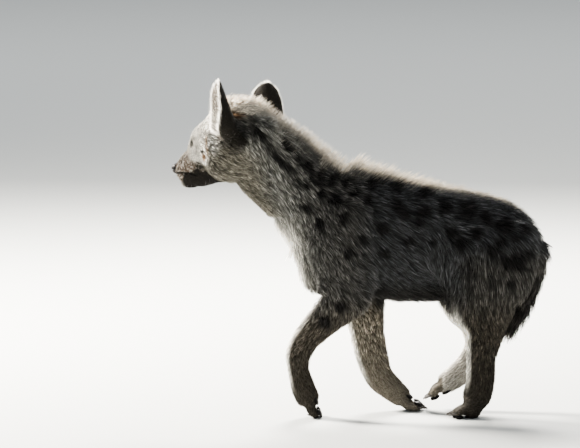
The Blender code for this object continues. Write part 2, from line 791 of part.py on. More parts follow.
def lock(root, out, lie, size, rng, clears=None):
    # A flat tapered blade along its line, raised until it clears what it lies over.
    side = lie.cross(out).normalized()
    side = (side + out * rng.uniform(-0.35, 0.35) + lie * rng.uniform(-0.25, 0.25)).normalized()
    rise = math.radians(size["rise"] + rng.uniform(-6, 6))
    long = size["long"] * rng.uniform(0.85, 1.15)
    wide = size["wide"] * rng.uniform(0.85, 1.15)
    line = lock_line(root, out, lie, long, rise, size)
    while clears and not clears(line, side * wide / 2) and rise < math.radians(80):
        rise += math.radians(5)
        line = lock_line(root, out, lie, long, rise, size)
    bm = bmesh.new()
    rings = []
    for i, (width, depth) in enumerate(((0.70, 1.0), (1.0, 0.85), (0.66, 0.6))):
        ahead = (line[i + 1] - line[max(0, i - 1)]).normalized()
        flat = side.cross(ahead).normalized() * size["thick"] * depth / 2
        edge = side * wide * width / 2
        rings.append([bm.verts.new(line[i] + step) for step in (-edge, flat, edge, -flat)])
    tip = bm.verts.new(line[3])
    bm.faces.new(rings[0])
    for low, high in zip(rings, rings[1:]):
        for i in range(4):
            bm.faces.new((low[i], low[(i + 1) % 4], high[(i + 1) % 4], high[i]))
    for i in range(4):
        bm.faces.new((rings[-1][i], rings[-1][(i + 1) % 4], tip))
    return from_bmesh("lock", bm)


def past(cut, point):
    # How far a point lies past a cut, along its axis.
    place, axis, _ = cut
    return (point - Vector(place)).dot(Vector(axis).normalized())


def coat_locks(surface, rng):
    # Locks along the crest and down the throat and breast, each on the part it is rooted in.
    found = {"neck": [], "torso": []}

    def clears(line, edge):
        # Whether the free part of a lock stays above the flesh that it lies over.
        for start, end in zip(line[1:], line[2:]):
            middle = (start + end) / 2
            for point in (middle - edge, middle, middle + edge, end):
                near, normal, _, _ = surface.find_nearest(point)
                if (point - near).dot(normal) < LOCK["clear"]:
                    return False
        return True

    for band in (CREST, BREAST):
        line = spline(band["line"], 10)
        along = np.concatenate([[0], np.cumsum(np.linalg.norm(np.diff(line[:, :2], axis=0), axis=1))])
        count = int(along[-1] / band["step"])
        for row in range(count + 1):
            x, z, turn, long, rise = (
                np.interp((row + 0.5) / (count + 1) * along[-1], along, line[:, k]) for k in range(5)
            )
            out = Vector((math.sin(math.radians(turn)), 0, math.cos(math.radians(turn))))
            columns = band["columns"] - row % 2
            for column in range(columns):
                angle = band["spread"] * (2 * (column + 0.5) / columns - 1) + rng.uniform(-3, 3)
                ray = out * math.cos(math.radians(angle)) + Vector((0, math.sin(math.radians(angle)), 0))
                start = Vector((x + rng.uniform(-0.003, 0.003), 0, z)) + ray * 0.3
                hit, normal, _, _ = surface.ray_cast(start, -ray)
                lie = Vector(band["lie"])
                lie = (lie - normal * lie.dot(normal)).normalized()
                size = {**LOCK, "long": long, "rise": rise}
                behind = past(CUTS[0], hit)
                if -SEAM_SPACE < behind < band["bare"] or past(CUTS[1], hit) < SEAM_SPACE:
                    continue
                name = "neck" if behind < 0 else "torso"
                found[name].append(lock(hit, normal, lie, size, rng, clears))
    return found


def tail_brush(tail, rng):
    # Long locks round the lower tail that run on past its end.
    line = spline(TAIL, 4)
    locks = []
    for row, t in enumerate(np.linspace(BRUSH["from"], 1.0, BRUSH["rows"])):
        place = np.array([np.interp(t, np.linspace(0, 1, len(line)), line[:, k]) for k in range(4)])
        ahead = np.array([np.interp(min(1, t + 0.05), np.linspace(0, 1, len(line)), line[:, k])
                          - np.interp(t - 0.05, np.linspace(0, 1, len(line)), line[:, k]) for k in range(2)])
        lie = Vector((ahead[0], 0, ahead[1])).normalized()
        across = Vector((0, 1, 0)).cross(lie).normalized()
        for column in range(BRUSH["columns"]):
            turn = math.tau * (column + 0.5 * (row % 2)) / BRUSH["columns"]
            out = across * math.cos(turn) + Vector((0, math.sin(turn), 0))
            root = Vector((place[0], 0, place[1])) + out * place[2] * 0.8
            locks.append(lock(root, out, lie, BRUSH["lock"], rng))
    return locks


def dress(parts, surface):
    # Adds the long coat to the neck, torso and tail.
    rng = random.Random(7)
    bed_in(parts["torso"], parts["tail"])
    locks = coat_locks(surface, rng)
    locks["tail"] = tail_brush(parts["tail"], rng)
    for name, pieces in locks.items():
        keep_largest(boolean(parts[name], pieces, "UNION", "MANIFOLD"))


def centre_on_floor(objects):
    # Brings the middle of the outline to the origin, seen from above, with the floor at z = 0.
    corners = np.array([tuple(v.co) for obj in objects for v in obj.data.vertices])
    low, high = corners.min(axis=0), corners.max(axis=0)
    shift = Vector((-(low[0] + high[0]) / 2, -(low[1] + high[1]) / 2, -low[2]))
    for obj in objects:
        obj.data.transform(Matrix.Translation(shift))


def paint(objects):
    finishes = {name: material(name, colour, rough) for name, (colour, rough) in FINISHES.items()}
    for obj in objects:
        kind = next((k for k in FINISHES if obj.name.startswith(k)), "coat")
        obj.data.materials.clear()
        obj.data.materials.append(finishes[kind])
        obj.data.shade_smooth()
        obj.data.set_sharp_from_angle(angle=math.radians(50))


def main():
    clear_scene()
    body = thin(flesh())
    stand(body)
    surface = BVHTree.FromObject(body, bpy.context.evaluated_depsgraph_get())
    parts = part_body(body)
    head = parts["head"]
    sides = (("left", 1), ("right", -1))
    parts["tail"] = tail_piece()
    dress(parts, surface)
    for side in sides:
        ear = ear_piece(head, side)
        parts[ear.name] = ear
    for side in sides:
        eye = eye_and_lids(head, side)
        parts[eye.name] = eye
    parts["nose"] = nose_piece(head)
    mouth(head)
    keep_largest(head)
    for claw in claw_pieces({name: parts[name] for name in PAWS}):
        parts[claw.name] = claw
    for obj in parts.values():
        keep_largest(polish(obj))
    paint(parts.values())
    centre_on_floor(list(parts.values()))


main()
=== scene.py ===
import math

import bmesh
import bpy
import numpy as np
from mathutils import Matrix, Vector
from mathutils.kdtree import KDTree


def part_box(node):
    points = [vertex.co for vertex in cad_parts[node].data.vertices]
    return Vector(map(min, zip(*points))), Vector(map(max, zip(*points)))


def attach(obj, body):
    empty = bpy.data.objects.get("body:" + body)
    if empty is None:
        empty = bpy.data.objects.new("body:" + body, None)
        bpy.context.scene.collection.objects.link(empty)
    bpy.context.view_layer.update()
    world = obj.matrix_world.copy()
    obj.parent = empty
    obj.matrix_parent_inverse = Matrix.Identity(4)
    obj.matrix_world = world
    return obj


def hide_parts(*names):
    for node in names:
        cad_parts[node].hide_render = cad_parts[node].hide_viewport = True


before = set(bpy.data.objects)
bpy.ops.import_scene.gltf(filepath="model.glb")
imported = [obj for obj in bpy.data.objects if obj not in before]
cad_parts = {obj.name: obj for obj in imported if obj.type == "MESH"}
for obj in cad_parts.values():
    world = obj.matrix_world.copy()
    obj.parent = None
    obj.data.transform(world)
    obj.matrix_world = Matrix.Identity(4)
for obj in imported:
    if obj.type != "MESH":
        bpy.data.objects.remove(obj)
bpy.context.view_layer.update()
draw = np.random.default_rng(11)


# The cub faces -X with its left side at -Y. Tables of rows are in millimetres, all other sizes in metres.
def metres(rows):
    return np.array(rows) / 1000


trunkRows = metres((  # x, top of the back, underside, half width
    (-165, 436, 266, 50), (-135, 464, 214, 64), (-102, 453, 206, 73), (-46, 436, 205, 80),
    (9, 424, 198, 84), (69, 416, 199, 83), (130, 408, 211, 78), (185, 391, 222, 70), (228, 358, 234, 56),
    (252, 326, 250, 36),
))
neckRows = metres((  # x, z, half width, half depth
    (-294, 500, 46, 62), (-270, 482, 50, 71), (-231, 452, 53, 78), (-190, 414, 58, 79), (-153, 373, 64, 86),
    (-112, 334, 66, 89),
))
tailRows = metres((  # x, z, half width, half depth
    (218, 338, 15, 17), (243, 312, 16, 18), (255.5, 272, 15, 19), (245, 232, 14, 20), (229, 196, 14, 21),
    (213, 168, 13, 19), (205, 150, 11, 14),
))
skullRows = metres((  # x along the head, top, underside, half width
    (-58, 46, -56, 48), (-35, 66, -70, 60), (0, 73, -77, 65), (32, 64.5, -79, 61), (58, 51, -77, 52),
    (78, 31, -75, 37.5),
))
muzzleRows = metres((
    (50, 28, -76, 40), (90, 12.5, -73.5, 33), (111, 4, -70, 32.5), (130, -6, -62.5, 28.5),
    (139, -11, -56, 21.5), (144.5, -21, -48, 13.5),
))
headLumps = metres((  # middle (left side), radii: jaw muscle, cheekbone, brow, whisker pad, ear root
    ((12, 34, -34), (40, 31, 36)), ((62, 30, -18), (30, 19, 17)), ((64.5, 21, 23.5), (16, 14, 11)),
    ((128, 13, -36), (15, 15.8, 15)), ((-24, 50, 16), (26, 18, 34)),
))
legRows = {  # x, y, z, half width, half depth
    "leftFore": metres((
        (-98, -50, 385, 24, 48), (-115, -56, 318, 30, 62), (-103, -60, 258, 31, 60),
        (-101, -60, 222, 29, 51), (-123, -58, 193, 27, 42), (-151, -55, 163, 24, 34),
        (-175, -53, 135, 22, 29.5), (-188, -52, 108, 21, 27), (-188, -51, 80, 20, 22.5),
        (-181, -50, 52, 21, 24), (-171, -49, 26, 22, 23.5),
    )),
    "rightFore": metres((
        (-98, 50, 385, 24, 48), (-112, 56, 318, 30, 60), (-90, 60, 258, 31, 56), (-71, 60, 214, 29, 48),
        (-65, 56, 175, 26, 41), (-59, 52, 132, 24, 36), (-50, 49, 90, 23, 33), (-38, 47, 56, 22, 29),
        (-17, 46, 34, 21, 25.5), (4, 45, 16, 21, 21.5),
    )),
    "leftHind": metres((
        (180, -40, 345, 30, 60), (178, -47, 305, 38, 82), (163, -52, 262, 40, 86), (150, -55, 218, 37, 77),
        (152, -56, 181, 32, 62), (155, -56, 152, 27, 44), (152, -56, 124, 23, 35), (149, -55, 95, 21, 30),
        (148, -54, 60, 20, 29), (141, -53, 29, 21, 28), (134, -53, 12, 21, 20),
    )),
    "rightHind": metres((
        (180, 40, 345, 30, 60), (172, 47, 305, 38, 82), (150, 52, 262, 40, 86), (136, 55, 218, 37, 74),
        (139, 56, 181, 32, 58), (148, 56, 148, 26, 40), (149, 55, 114, 22, 32), (135, 53, 83, 20, 27.5),
        (112, 51, 59, 20, 25), (89, 50, 42, 21, 22),
    )),
}
paws = {  # ball of the foot, then the ways the toes, the upper side and the claws point, in x and z
    "forepaw_left": ((-0.1670, -0.049, 0.0175), (0.45, -0.893), (-0.893, -0.45), (-1.0, 0.20)),
    "forepaw_right": ((0.0115, 0.045, 0.0070), (0.90, -0.44), (-0.44, -0.90), (0.98, 0.05)),
    "hindpaw_left": ((0.1290, -0.053, 0.0035), (-0.995, -0.10), (-0.10, 0.995), (-0.98, -0.05)),
    "hindpaw_right": ((0.0825, 0.050, 0.0350), (-0.82, -0.572), (-0.572, 0.82), (-0.95, -0.30)),
}
pawBalls = (((-0.004, 0, -0.001), (0.020, 0.0245, 0.0125)), ((-0.004, 0, -0.0085), (0.014, 0.017, 0.008)))
toePlan = {"count": 4, "spread": 0.0125, "long": 0.036, "radius": 0.0088}
headPlan = {
    "at": (-0.3024, 0.010, 0.498), "turn": 40, "drop": 12, "roll": 4,
    "lowest": 0.36,  # no point of the head lies below this height
    "chin": ((0.120, 0, -0.0585), (0.025, 0.019, 0.012)),
}
eyePlan = {
    "x": 0.0770, "y": 0.0227, "z": 0.0060, "radius": 0.0100, "out": 52, "lift": 0.06,
    "lid": 0.0014, "brim": 0.006, "sink": 0.008,
    "socket": (0.0090, 0.0050), "bare": (0.0095, 0.0052), "opening": (0.0078, 0.0040),
    "corner": 0.25,  # how much lower the almond is at its corners
}
mouthPlan = {"back": 0.095, "height": -0.0395, "sag": 0.012, "corner": math.radians(112), "front": 0.17}

turn = Matrix.Rotation(math.pi - math.radians(headPlan["turn"]), 4, "Z")
drop = Matrix.Rotation(math.radians(headPlan["drop"]), 4, "Y")
roll = Matrix.Rotation(math.radians(headPlan["roll"]), 4, "X")
head = Matrix.Translation(headPlan["at"]) @ turn @ drop @ roll
headTurn, headAt, headBack = np.array(head.to_3x3()), np.array(head.translation), np.array(head.inverted())

# The frame's origin is under the middle of the outline: the eye tells how far the sizes above shift.
low, high = (Vector(corner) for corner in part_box("eye_left"))
shift = (low + high) / 2 - head @ Vector((eyePlan["x"], eyePlan["y"], eyePlan["z"]))
floorLevel = -shift.z
floorGaps = {"skin": 0.0004, "hair": 0.0003, "pads": 0.0002}
print("frame read, shift", [round(value, 5) for value in shift])


# Numbers by the row
def rise(low, high, value):
    # smoothly from 0 at low to 1 at high
    t = np.clip((value - low) / (high - low), 0, 1)
    return t * t * (3 - 2 * t)


def fall(low, high, value):
    return 1 - rise(low, high, value)


def blend(a, b, t):
    return a + (b - a) * t


def unit(rows):
    return rows / np.maximum(np.linalg.norm(rows, axis=1, keepdims=True), 1e-9)


def inHead(points):
    return points @ headBack[:3, :3].T + headBack[:3, 3]


def headTurned(vectors):
    return vectors @ headTurn.T


def valuesOf(items, key, size, kind=float):
    # one value of every item of a mesh, as rows
    values = np.empty(len(items) * size, kind)
    items.foreach_get(key, values)
    return values.reshape(-1, size)


def movePoints(mesh, points):
    mesh.vertices.foreach_set("co", points.ravel())
    mesh.update()


def nearestOn(line, points):
    # the nearest point of a line to each point, and the square of the gap
    gaps = ((points[:, None] - line) ** 2).sum(axis=2)
    return gaps.argmin(axis=1), gaps.min(axis=1)


def splineRows(rows, steps):
    padded = np.vstack([2 * rows[0] - rows[1], rows, 2 * rows[-1] - rows[-2]])
    points = []
    for i in range(len(rows) - 1):
        a, b, c, d = padded[i:i + 4]
        for t in np.arange(steps) / steps:
            curve = 2 * b + (c - a) * t + (2 * a - 5 * b + 4 * c - d) * t**2
            points.append(0.5 * (curve + (3 * b - a - 3 * c + d) * t**3))
    points.append(rows[-1])
    return np.array(points)


# Shapes shared by the pieces
def placeOf(axes, at):
    place = Matrix(axes).transposed().to_4x4()
    place.translation = Vector(at)
    return place


def addTube(bm, places, radii, sides):
    # a closed tube along a line, made by extruding one ring
    tangents = np.gradient(np.array(places, float), axis=0)
    side = Vector((0, 1, 0))
    frames = []
    for place, radius, tangent in zip(places, radii, tangents):
        along = Vector(tangent).normalized()
        across = (side - along * along.dot(side)).normalized()
        frames.append(placeOf((across * radius[0], along.cross(across) * radius[1], along), place))
    made = bmesh.ops.create_circle(bm, segments=sides, radius=1, matrix=frames[0])
    ring = list(dict.fromkeys(edge for vert in made["verts"] for edge in vert.link_edges))
    first = ring
    for before, after in zip(frames, frames[1:]):
        grown = bmesh.ops.extrude_edge_only(bm, edges=ring)["geom"]
        ring = [item for item in grown if isinstance(item, bmesh.types.BMEdge)]
        moved = [item for item in grown if isinstance(item, bmesh.types.BMVert)]
        bmesh.ops.transform(bm, matrix=after @ before.inverted(), verts=moved)
    for end in (first, ring):
        bmesh.ops.edgeloop_fill(bm, edges=end)


def addLimb(bm, rows, sides):
    # a tube through rows of x, y, z, half width and half depth, with a dome at each end
    points = splineRows(np.array(rows, float), 4)
    places, radii = points[:, :3], points[:, 3:5]
    turns, height = np.radians([28, 55, 78]), 0.7
    start = (places[0] - places[1]) / np.linalg.norm(places[0] - places[1])
    end = (places[-1] - places[-2]) / np.linalg.norm(places[-1] - places[-2])
    before = [places[0] + start * height * radii[0].min() * math.sin(a) for a in turns[::-1]]
    after = [places[-1] + end * height * radii[-1].min() * math.sin(a) for a in turns]
    places = np.vstack([before, places, after])
    radii = np.vstack([[radii[0] * math.cos(a) for a in turns[::-1]], radii,
                       [radii[-1] * math.cos(a) for a in turns]])
    addTube(bm, places, radii, sides)


def upright(rows):
    return [(x, 0, (top + low) / 2, wide, (top - low) / 2) for x, top, low, wide in rows]


def addBall(bm, centre, radii, place=Matrix(), detail=3):
    spot = place @ Matrix.Translation(centre) @ Matrix.Diagonal((*radii, 1))
    bmesh.ops.create_icosphere(bm, subdivisions=detail, radius=1, matrix=spot)


def addPart(bm, part, place):
    part.transform(place)
    mesh = bpy.data.meshes.new("part")
    part.to_mesh(mesh)
    part.free()
    bm.from_mesh(mesh)
    bpy.data.meshes.remove(mesh)


def newObject(name, data):
    obj = bpy.data.objects.new(name, data)
    bpy.context.scene.collection.objects.link(obj)
    return obj


def meshObject(name, bm):
    bmesh.ops.recalc_face_normals(bm, faces=bm.faces)
    if bm.calc_volume(signed=True) < 0:
        bmesh.ops.reverse_faces(bm, faces=bm.faces)
    mesh = bpy.data.meshes.new(name)
    bm.to_mesh(mesh)
    bm.free()
    mesh.shade_smooth()
    return newObject(name, mesh)


def roundObject(name, places, detail):
    bm = bmesh.new()
    for place, centre, radii in places:
        addBall(bm, centre, radii, place, detail)
    return meshObject(name, bm)


def bakeModifiers(obj):
    graph = bpy.context.evaluated_depsgraph_get()
    mesh = bpy.data.meshes.new_from_object(obj.evaluated_get(graph))
    obj.modifiers.clear()
    obj.data = mesh


def addUv(obj, angle=66, margin=0.01):
    bpy.context.view_layer.objects.active = obj
    bpy.ops.object.select_all(action="DESELECT")
    obj.select_set(True)
    bpy.ops.object.mode_set(mode="EDIT")
    bpy.ops.mesh.select_all(action="SELECT")
    bpy.ops.uv.smart_project(angle_limit=math.radians(angle), island_margin=margin)
    bpy.ops.object.mode_set(mode="OBJECT")
    obj.data.uv_layers[0].name = "OFBake"


def setTone(mesh, colours):
    # stores a colour for each point, which the materials read
    rows = np.ones((len(mesh.vertices), 4), np.float32)
    rows[:, :3] = colours
    mesh.attributes.new("tone", "FLOAT_COLOR", "POINT").data.foreach_set("color", rows.ravel())


def pawPlace(name):
    ball, toes, upper, _ = paws[name]
    toes = Vector((toes[0], 0, toes[1])).normalized()
    upper = Vector((upper[0], 0, upper[1])).normalized()
    return placeOf((toes, upper.cross(toes), upper), ball)


def toeLine(number):
    off = number - (toePlan["count"] - 1) / 2
    reach = toePlan["long"] * (1.0 if abs(off) < 1 else 0.84)
    y = off * toePlan["spread"]
    return [(-0.012, y * 0.8, 0.002), (reach * 0.35, y, 0.0045), (reach * 0.75, y * 1.06, -0.001)]


def eyeFrame(left):
    # where an eye sits in the head, and the ways it looks, to its side and up
    turn = math.radians(eyePlan["out"])
    look = np.array([math.cos(turn), math.sin(turn) * left, eyePlan["lift"]])
    look /= np.linalg.norm(look)
    side = np.cross([0, 0, 1], look)
    side /= np.linalg.norm(side)
    return np.array([eyePlan["x"], eyePlan["y"] * left, eyePlan["z"]]), look, side, np.cross(look, side)


# The skin: one mesh under the whole coat, below the CAD outline by the depth of the hair
skinPlan = {"voxel": 0.0034, "factor": 0.5, "smooth": 5, "face": ((0.02, 0.2), 0.09, 0.11)}
coatDepths = {
    "body": 0.0115, "leg": 0.0070, "low": 0.0038, "foot": 0.0018,
    "tail": 0.0075, "head": 0.0060, "face": 0.0016,
}
tailLine = splineRows(tailRows, 5)


def regionWeights(points):
    # how much each point belongs to the head, face, tail, legs and feet
    local = inHead(points)
    x, z = points[:, 0], points[:, 2]
    near = rise(-0.075, -0.035, local[:, 0]) * (z > headPlan["lowest"])
    near *= (np.abs(local[:, 1]) < 0.11) * (local[:, 0] < 0.2)
    gaps = (x[:, None] - tailLine[:, 0]) ** 2 + (z[:, None] - tailLine[:, 1]) ** 2 + points[:, 1:2] ** 2
    past = np.sqrt(gaps.min(axis=1)) - tailLine[gaps.argmin(axis=1), 3]
    tail = fall(0.004, 0.012, past) * (z < 0.315) * rise(0.205, 0.222, x + (0.30 - z) * 0.35)
    weights = {"local": local, "body": np.ones(len(points)), "head": near, "tail": tail}
    weights["face"] = near * rise(0.055, 0.10, local[:, 0])
    for name, low, high in (("leg", 0.15, 0.235), ("low", 0.06, 0.13), ("foot", 0.02, 0.055)):
        weights[name] = fall(low, high, z) * (1 - tail)
    return weights


def layered(weights, amounts):
    # an amount for each point, where a region's amount covers those before it
    value = 0.0
    for region, amount in amounts.items():
        value = blend(value, amount, weights[region])
    return value


def coarseBody():
    bm = bmesh.new()
    addLimb(bm, upright(trunkRows), 28)
    addLimb(bm, np.insert(neckRows, 1, 0, axis=1), 28)
    addLimb(bm, np.insert(tailRows, 1, 0, axis=1), 14)
    part = bmesh.new()
    addLimb(part, upright(skullRows), 24)
    addLimb(part, upright(muzzleRows), 24)
    addBall(part, *headPlan["chin"])
    for left in (1, -1):
        for centre, radii in headLumps:
            addBall(part, centre * (1, left, 1), radii)
    addPart(bm, part, head)
    for rows in legRows.values():
        addLimb(bm, rows, 22)
    for name in paws:
        part = bmesh.new()
        for centre, radii in pawBalls:
            addBall(part, centre, radii)
        for number in range(toePlan["count"]):
            radius = toePlan["radius"]
            addLimb(part, [(*p, radius * 0.82, radius) for p in toeLine(number)], 14)
        addPart(bm, part, pawPlace(name))
    return meshObject("skin", bm)


def mouthGap(local):
    # height above the line of the mouth, and the way out from it; far off beyond its corners
    turn = np.arctan2(np.abs(local[:, 1]), local[:, 0] - mouthPlan["back"])
    line = mouthPlan["height"] - mouthPlan["sag"] * (turn / mouthPlan["corner"]) ** 2
    along = (turn < mouthPlan["corner"]) & (local[:, 0] < mouthPlan["front"])
    gap = np.where(along, local[:, 2] - line, 1.0)
    outward = np.column_stack([np.cos(turn), np.sin(turn) * np.sign(local[:, 1]), np.zeros(len(local))])
    return gap, outward


def sculptHead(points):
    # eye sockets and the line of the mouth, pushed into the fine mesh
    local = inHead(points)
    moved = local.copy()
    lidShell = eyePlan["radius"] + eyePlan["lid"]
    wide, high = eyePlan["socket"]
    for left in (1, -1):
        centre, look, side, up = eyeFrame(left)
        away = moved - centre
        far = np.linalg.norm(away, axis=1)
        ahead = away @ look
        u, v = away @ side, away @ up
        cover = (ahead > -0.002) * (far < lidShell + eyePlan["brim"])
        push = np.clip(lidShell - far, 0, None) * cover
        moved += unit(away) * push[:, None]
        # the almond between the lids sinks behind the ball
        almond = (u / wide) ** 2 + (v / (high * (1 - eyePlan["corner"] * np.abs(u) / wide))) ** 2
        sink = fall(0.75, 1.15, almond) * (ahead > 0)
        moved -= look * (sink * eyePlan["sink"])[:, None]
    # the lips roll out on both sides of the line of the mouth
    gap, outward = mouthGap(local)
    lips = 0.0009 * np.exp(-((np.abs(gap) - 0.0030) / 0.0018) ** 2) - 0.0018 * np.exp(-(gap / 0.0014) ** 2)
    moved += outward * lips[:, None]
    return headTurned(moved) + headAt


def makeSkin():
    skin = coarseBody()
    voxels = skin.modifiers.new("voxels", "REMESH")
    voxels.mode = "VOXEL"
    voxels.voxel_size = skinPlan["voxel"]
    smooth = skin.modifiers.new("smooth", "SMOOTH")
    smooth.factor = skinPlan["factor"]
    smooth.iterations = skinPlan["smooth"]
    bakeModifiers(skin)
    mesh = skin.data
    bm = bmesh.new()
    bm.from_mesh(mesh)
    # the face gets a mesh twice as fine
    (back, front), beside, above = skinPlan["face"]
    toHead = head.inverted()
    fine = set()
    for face in bm.faces:
        spot = toHead @ face.calc_center_median()
        if back < spot.x < front and abs(spot.y) < beside and abs(spot.z) < above:
            fine.add(face)
    edges = [edge for edge in bm.edges if not fine.isdisjoint(edge.link_faces)]
    bmesh.ops.subdivide_edges(bm, edges=edges, cuts=1, use_grid_fill=True)
    bmesh.ops.triangulate(bm, faces=[face for face in bm.faces if len(face.verts) > 4])
    bm.to_mesh(mesh)
    bm.free()
    points, normals = (valuesOf(mesh.vertices, key, 3) for key in ("co", "normal"))
    points = points - normals * layered(regionWeights(points), coatDepths)[:, None]
    points = sculptHead(points)
    points[:, 2] = np.maximum(points[:, 2], floorLevel + floorGaps["skin"])
    movePoints(mesh, points)
    mesh.shade_smooth()
    return skin


skin = makeSkin()
print("skin", len(skin.data.vertices), "points")
addUv(skin, 70, 0.002)
print("skin unwrapped")

# Marks of the coat, as places on the side of the body
spots = metres((
    (-170, 422, 9), (-148, 439, 9), (-124, 429, 9), (-102, 422, 9), (-144, 405, 11), (-120, 392, 11),
    (-174, 379, 9), (-148, 351, 11), (-106, 360, 11), (-83, 407, 9), (-59, 392, 11), (-52, 420, 9),
    (-35, 427, 9), (-259, 439, 6), (-239, 422, 6), (-9, 420, 15), (-4, 383, 13), (9, 370, 11),
    (-33, 342, 13), (44, 407, 13), (46, 373, 11), (35, 355, 11), (85, 379, 13), (126, 375, 17),
    (157, 362, 13), (139, 332, 13), (94, 334, 13), (194, 345, 17), (181, 318, 11), (172, 301, 11),
    (213, 323, 9), (231, 338, 11), (215, 282, 17), (237, 293, 11), (194, 278, 11), (111, 314, 11),
    (167, 239, 9), (207, 239, 9), (222, 267, 9), (-139, 170, 11), (-109, 196, 9), (-70, 323, 11),
    (-93, 295, 10), (15, 318, 10), (-28, 295, 9), (59, 319, 9), (-297, 518, 19), (-280, 532, 17),
    (-268, 518, 10),
))
stripes = [metres(chain) for chain in (  # chains of x, z
    ((-269, 524), (-250, 506), (-237, 481), (-219, 463), (-198, 440), (-185, 420)),
    ((-215, 500), (-193, 476), (-176, 457), (-161, 439), (-144, 424)),
)]
flow = np.array((  # x, z and how far the hair points below straight back, in degrees
    (-278, 453, 88), (-304, 491, 75), (-256, 491, 62), (-241, 463, 60), (-204, 463, 50), (-167, 435, 50),
    (-269, 407, 40), (-231, 388, 45), (-213, 332, 60), (-120, 370, 62), (-102, 304, 66), (-130, 435, 45),
    (-74, 416, 35), (0, 398, 35), (56, 370, 40), (0, 314, 38), (-9, 267, 22), (37, 239, 18), (-56, 277, 45),
    (74, 314, 75), (93, 277, 100), (115, 351, 15), (167, 388, 18), (204, 360, 45), (222, 323, 60),
    (259, 286, 80), (139, 286, 85), (167, 211, 92), (120, 174, 88), (-139, 211, 52), (-167, 174, 60),
    (-102, 239, 50),
)) / (1000, 1000, 1)
tones = {
    "flank": (0.050, 0.051, 0.053), "shoulder": (0.080, 0.077, 0.072), "neck": (0.185, 0.182, 0.166),
    # the first tone on this line, for the underside, is painted shadow: near black for the shade under the
    # body
    "bellyShadow": (0.020, 0.019, 0.018), "thigh": (0.062, 0.059, 0.054), "leg": (0.060, 0.052, 0.041),
    # the first tone on this line, for the inner side of the legs, is partly their own pale hair, partly
    # painted sunlight
    # the second tone on this line, for the back line, crown and mane, is partly pale hair tips, partly
    # painted backlit glow
    "inner": (0.230, 0.205, 0.165), "crest": (0.950, 0.860, 0.720), "spot": (0.007, 0.006, 0.006),
    "pale": (0.920, 0.880, 0.800), "muzzle": (0.400, 0.310, 0.240), "black": (0.010, 0.008, 0.007),
    "brown": (0.300, 0.165, 0.075), "cheek": (0.160, 0.148, 0.120), "grey": (0.380, 0.370, 0.345),
}
tones = {name: np.array(tone) for name, tone in tones.items()}
facePatches = (  # place on the head, size, tone and how much of it
    ((0.0409, 0.0512, -0.0142), (0.0060, 0.02, 0.0035), "spot", 0.95),
    ((0.0388, 0.0499, -0.0257), (0.0075, 0.02, 0.0085), "brown", 0.90),
    ((0.0530, 0.0413, -0.0320), (0.0050, 0.02, 0.0050), "pale", 0.80),
    ((0.0465, 0.0318, -0.0500), (0.0035, 0.02, 0.0050), "pale", 0.70),
    ((0.0815, 0.0345, 0.0066), (0.0120, 0.0105, 0.0078), "black", 0.98),
    ((-0.040, 0.032, 0.042), (0.016, 0.016, 0.014), "brown", 0.85),
    # painted shade: a dark patch where the ear meets the head
    ((-0.046, 0.050, 0.006), (0.036, 0.032, 0.034), "spot", 0.95),
    # painted rim light: a pale band at the front of the chin where the light from behind catches the
    # outline
    ((0.138, 0.000, -0.058), (0.016, 0.020, 0.010), "pale", 0.60),
)


def noise(points, size, seed):
    # smooth values from 0 to 1 on a lattice of the given size
    scaled = points / size
    low = np.floor(scaled).astype(np.int64)
    part = scaled - low
    part = part * part * (3 - 2 * part)
    total = np.zeros(len(points))
    for corner in range(8):
        bits = np.array([corner & 1, corner >> 1 & 1, corner >> 2 & 1])
        cell = low + bits
        mixed = cell[:, 0] * 73856093 ^ cell[:, 1] * 19349663 ^ cell[:, 2] * 83492791 ^ seed * 2654435761
        mixed = (mixed ^ mixed >> 13) * 1274126177
        value = (mixed >> 8 & 0xFFFF) / 0xFFFF
        total += value * np.prod(np.where(bits, part, 1 - part), axis=1)
    return total


def paint(first, layers):
    # one tone all over, then the others where their weights are
    colour = np.tile(tones[first], (len(layers[0][1]), 1))
    for name, weight in layers:
        colour = blend(colour, tones[name], np.clip(weight, 0, 1)[:, None])
    return colour


def patchAt(local, at, size):
    # 1 at a place on either side of the head, falling to 0 past the size
    away = np.column_stack([local[:, 0], np.abs(local[:, 1]), local[:, 2]]) - np.array(at)
    return fall(0.5, 1.3, np.linalg.norm(away / np.array(size), axis=1))


def spotMask(points):
    wobble = np.column_stack([noise(points, 0.012, 3), noise(points, 0.012, 4)]) - 0.5
    side = (points[:, 1] > 0) * 1.0
    flat = points[:, [0, 2]] + wobble * 0.010 + np.column_stack([side * 0.006, side * -0.004])
    broken = 0.65 + 0.35 * rise(0.15, 0.55, noise(points, 0.014, 6))
    mask = np.zeros(len(points))
    for x, z, radius in spots:
        away = np.hypot((flat[:, 0] - x) * 0.95, flat[:, 1] - z)
        mask = np.maximum(mask, fall(0.6 * radius, 1.35 * radius, away))
    for chain in stripes:
        for a, b in zip(chain, chain[1:]):
            t = np.clip((flat - a) @ (b - a) / ((b - a) @ (b - a)), 0, 1)
            away = np.linalg.norm(flat - a - t[:, None] * (b - a), axis=1)
            mask = np.maximum(mask, fall(0.004, 0.010, away) * broken)
    return mask


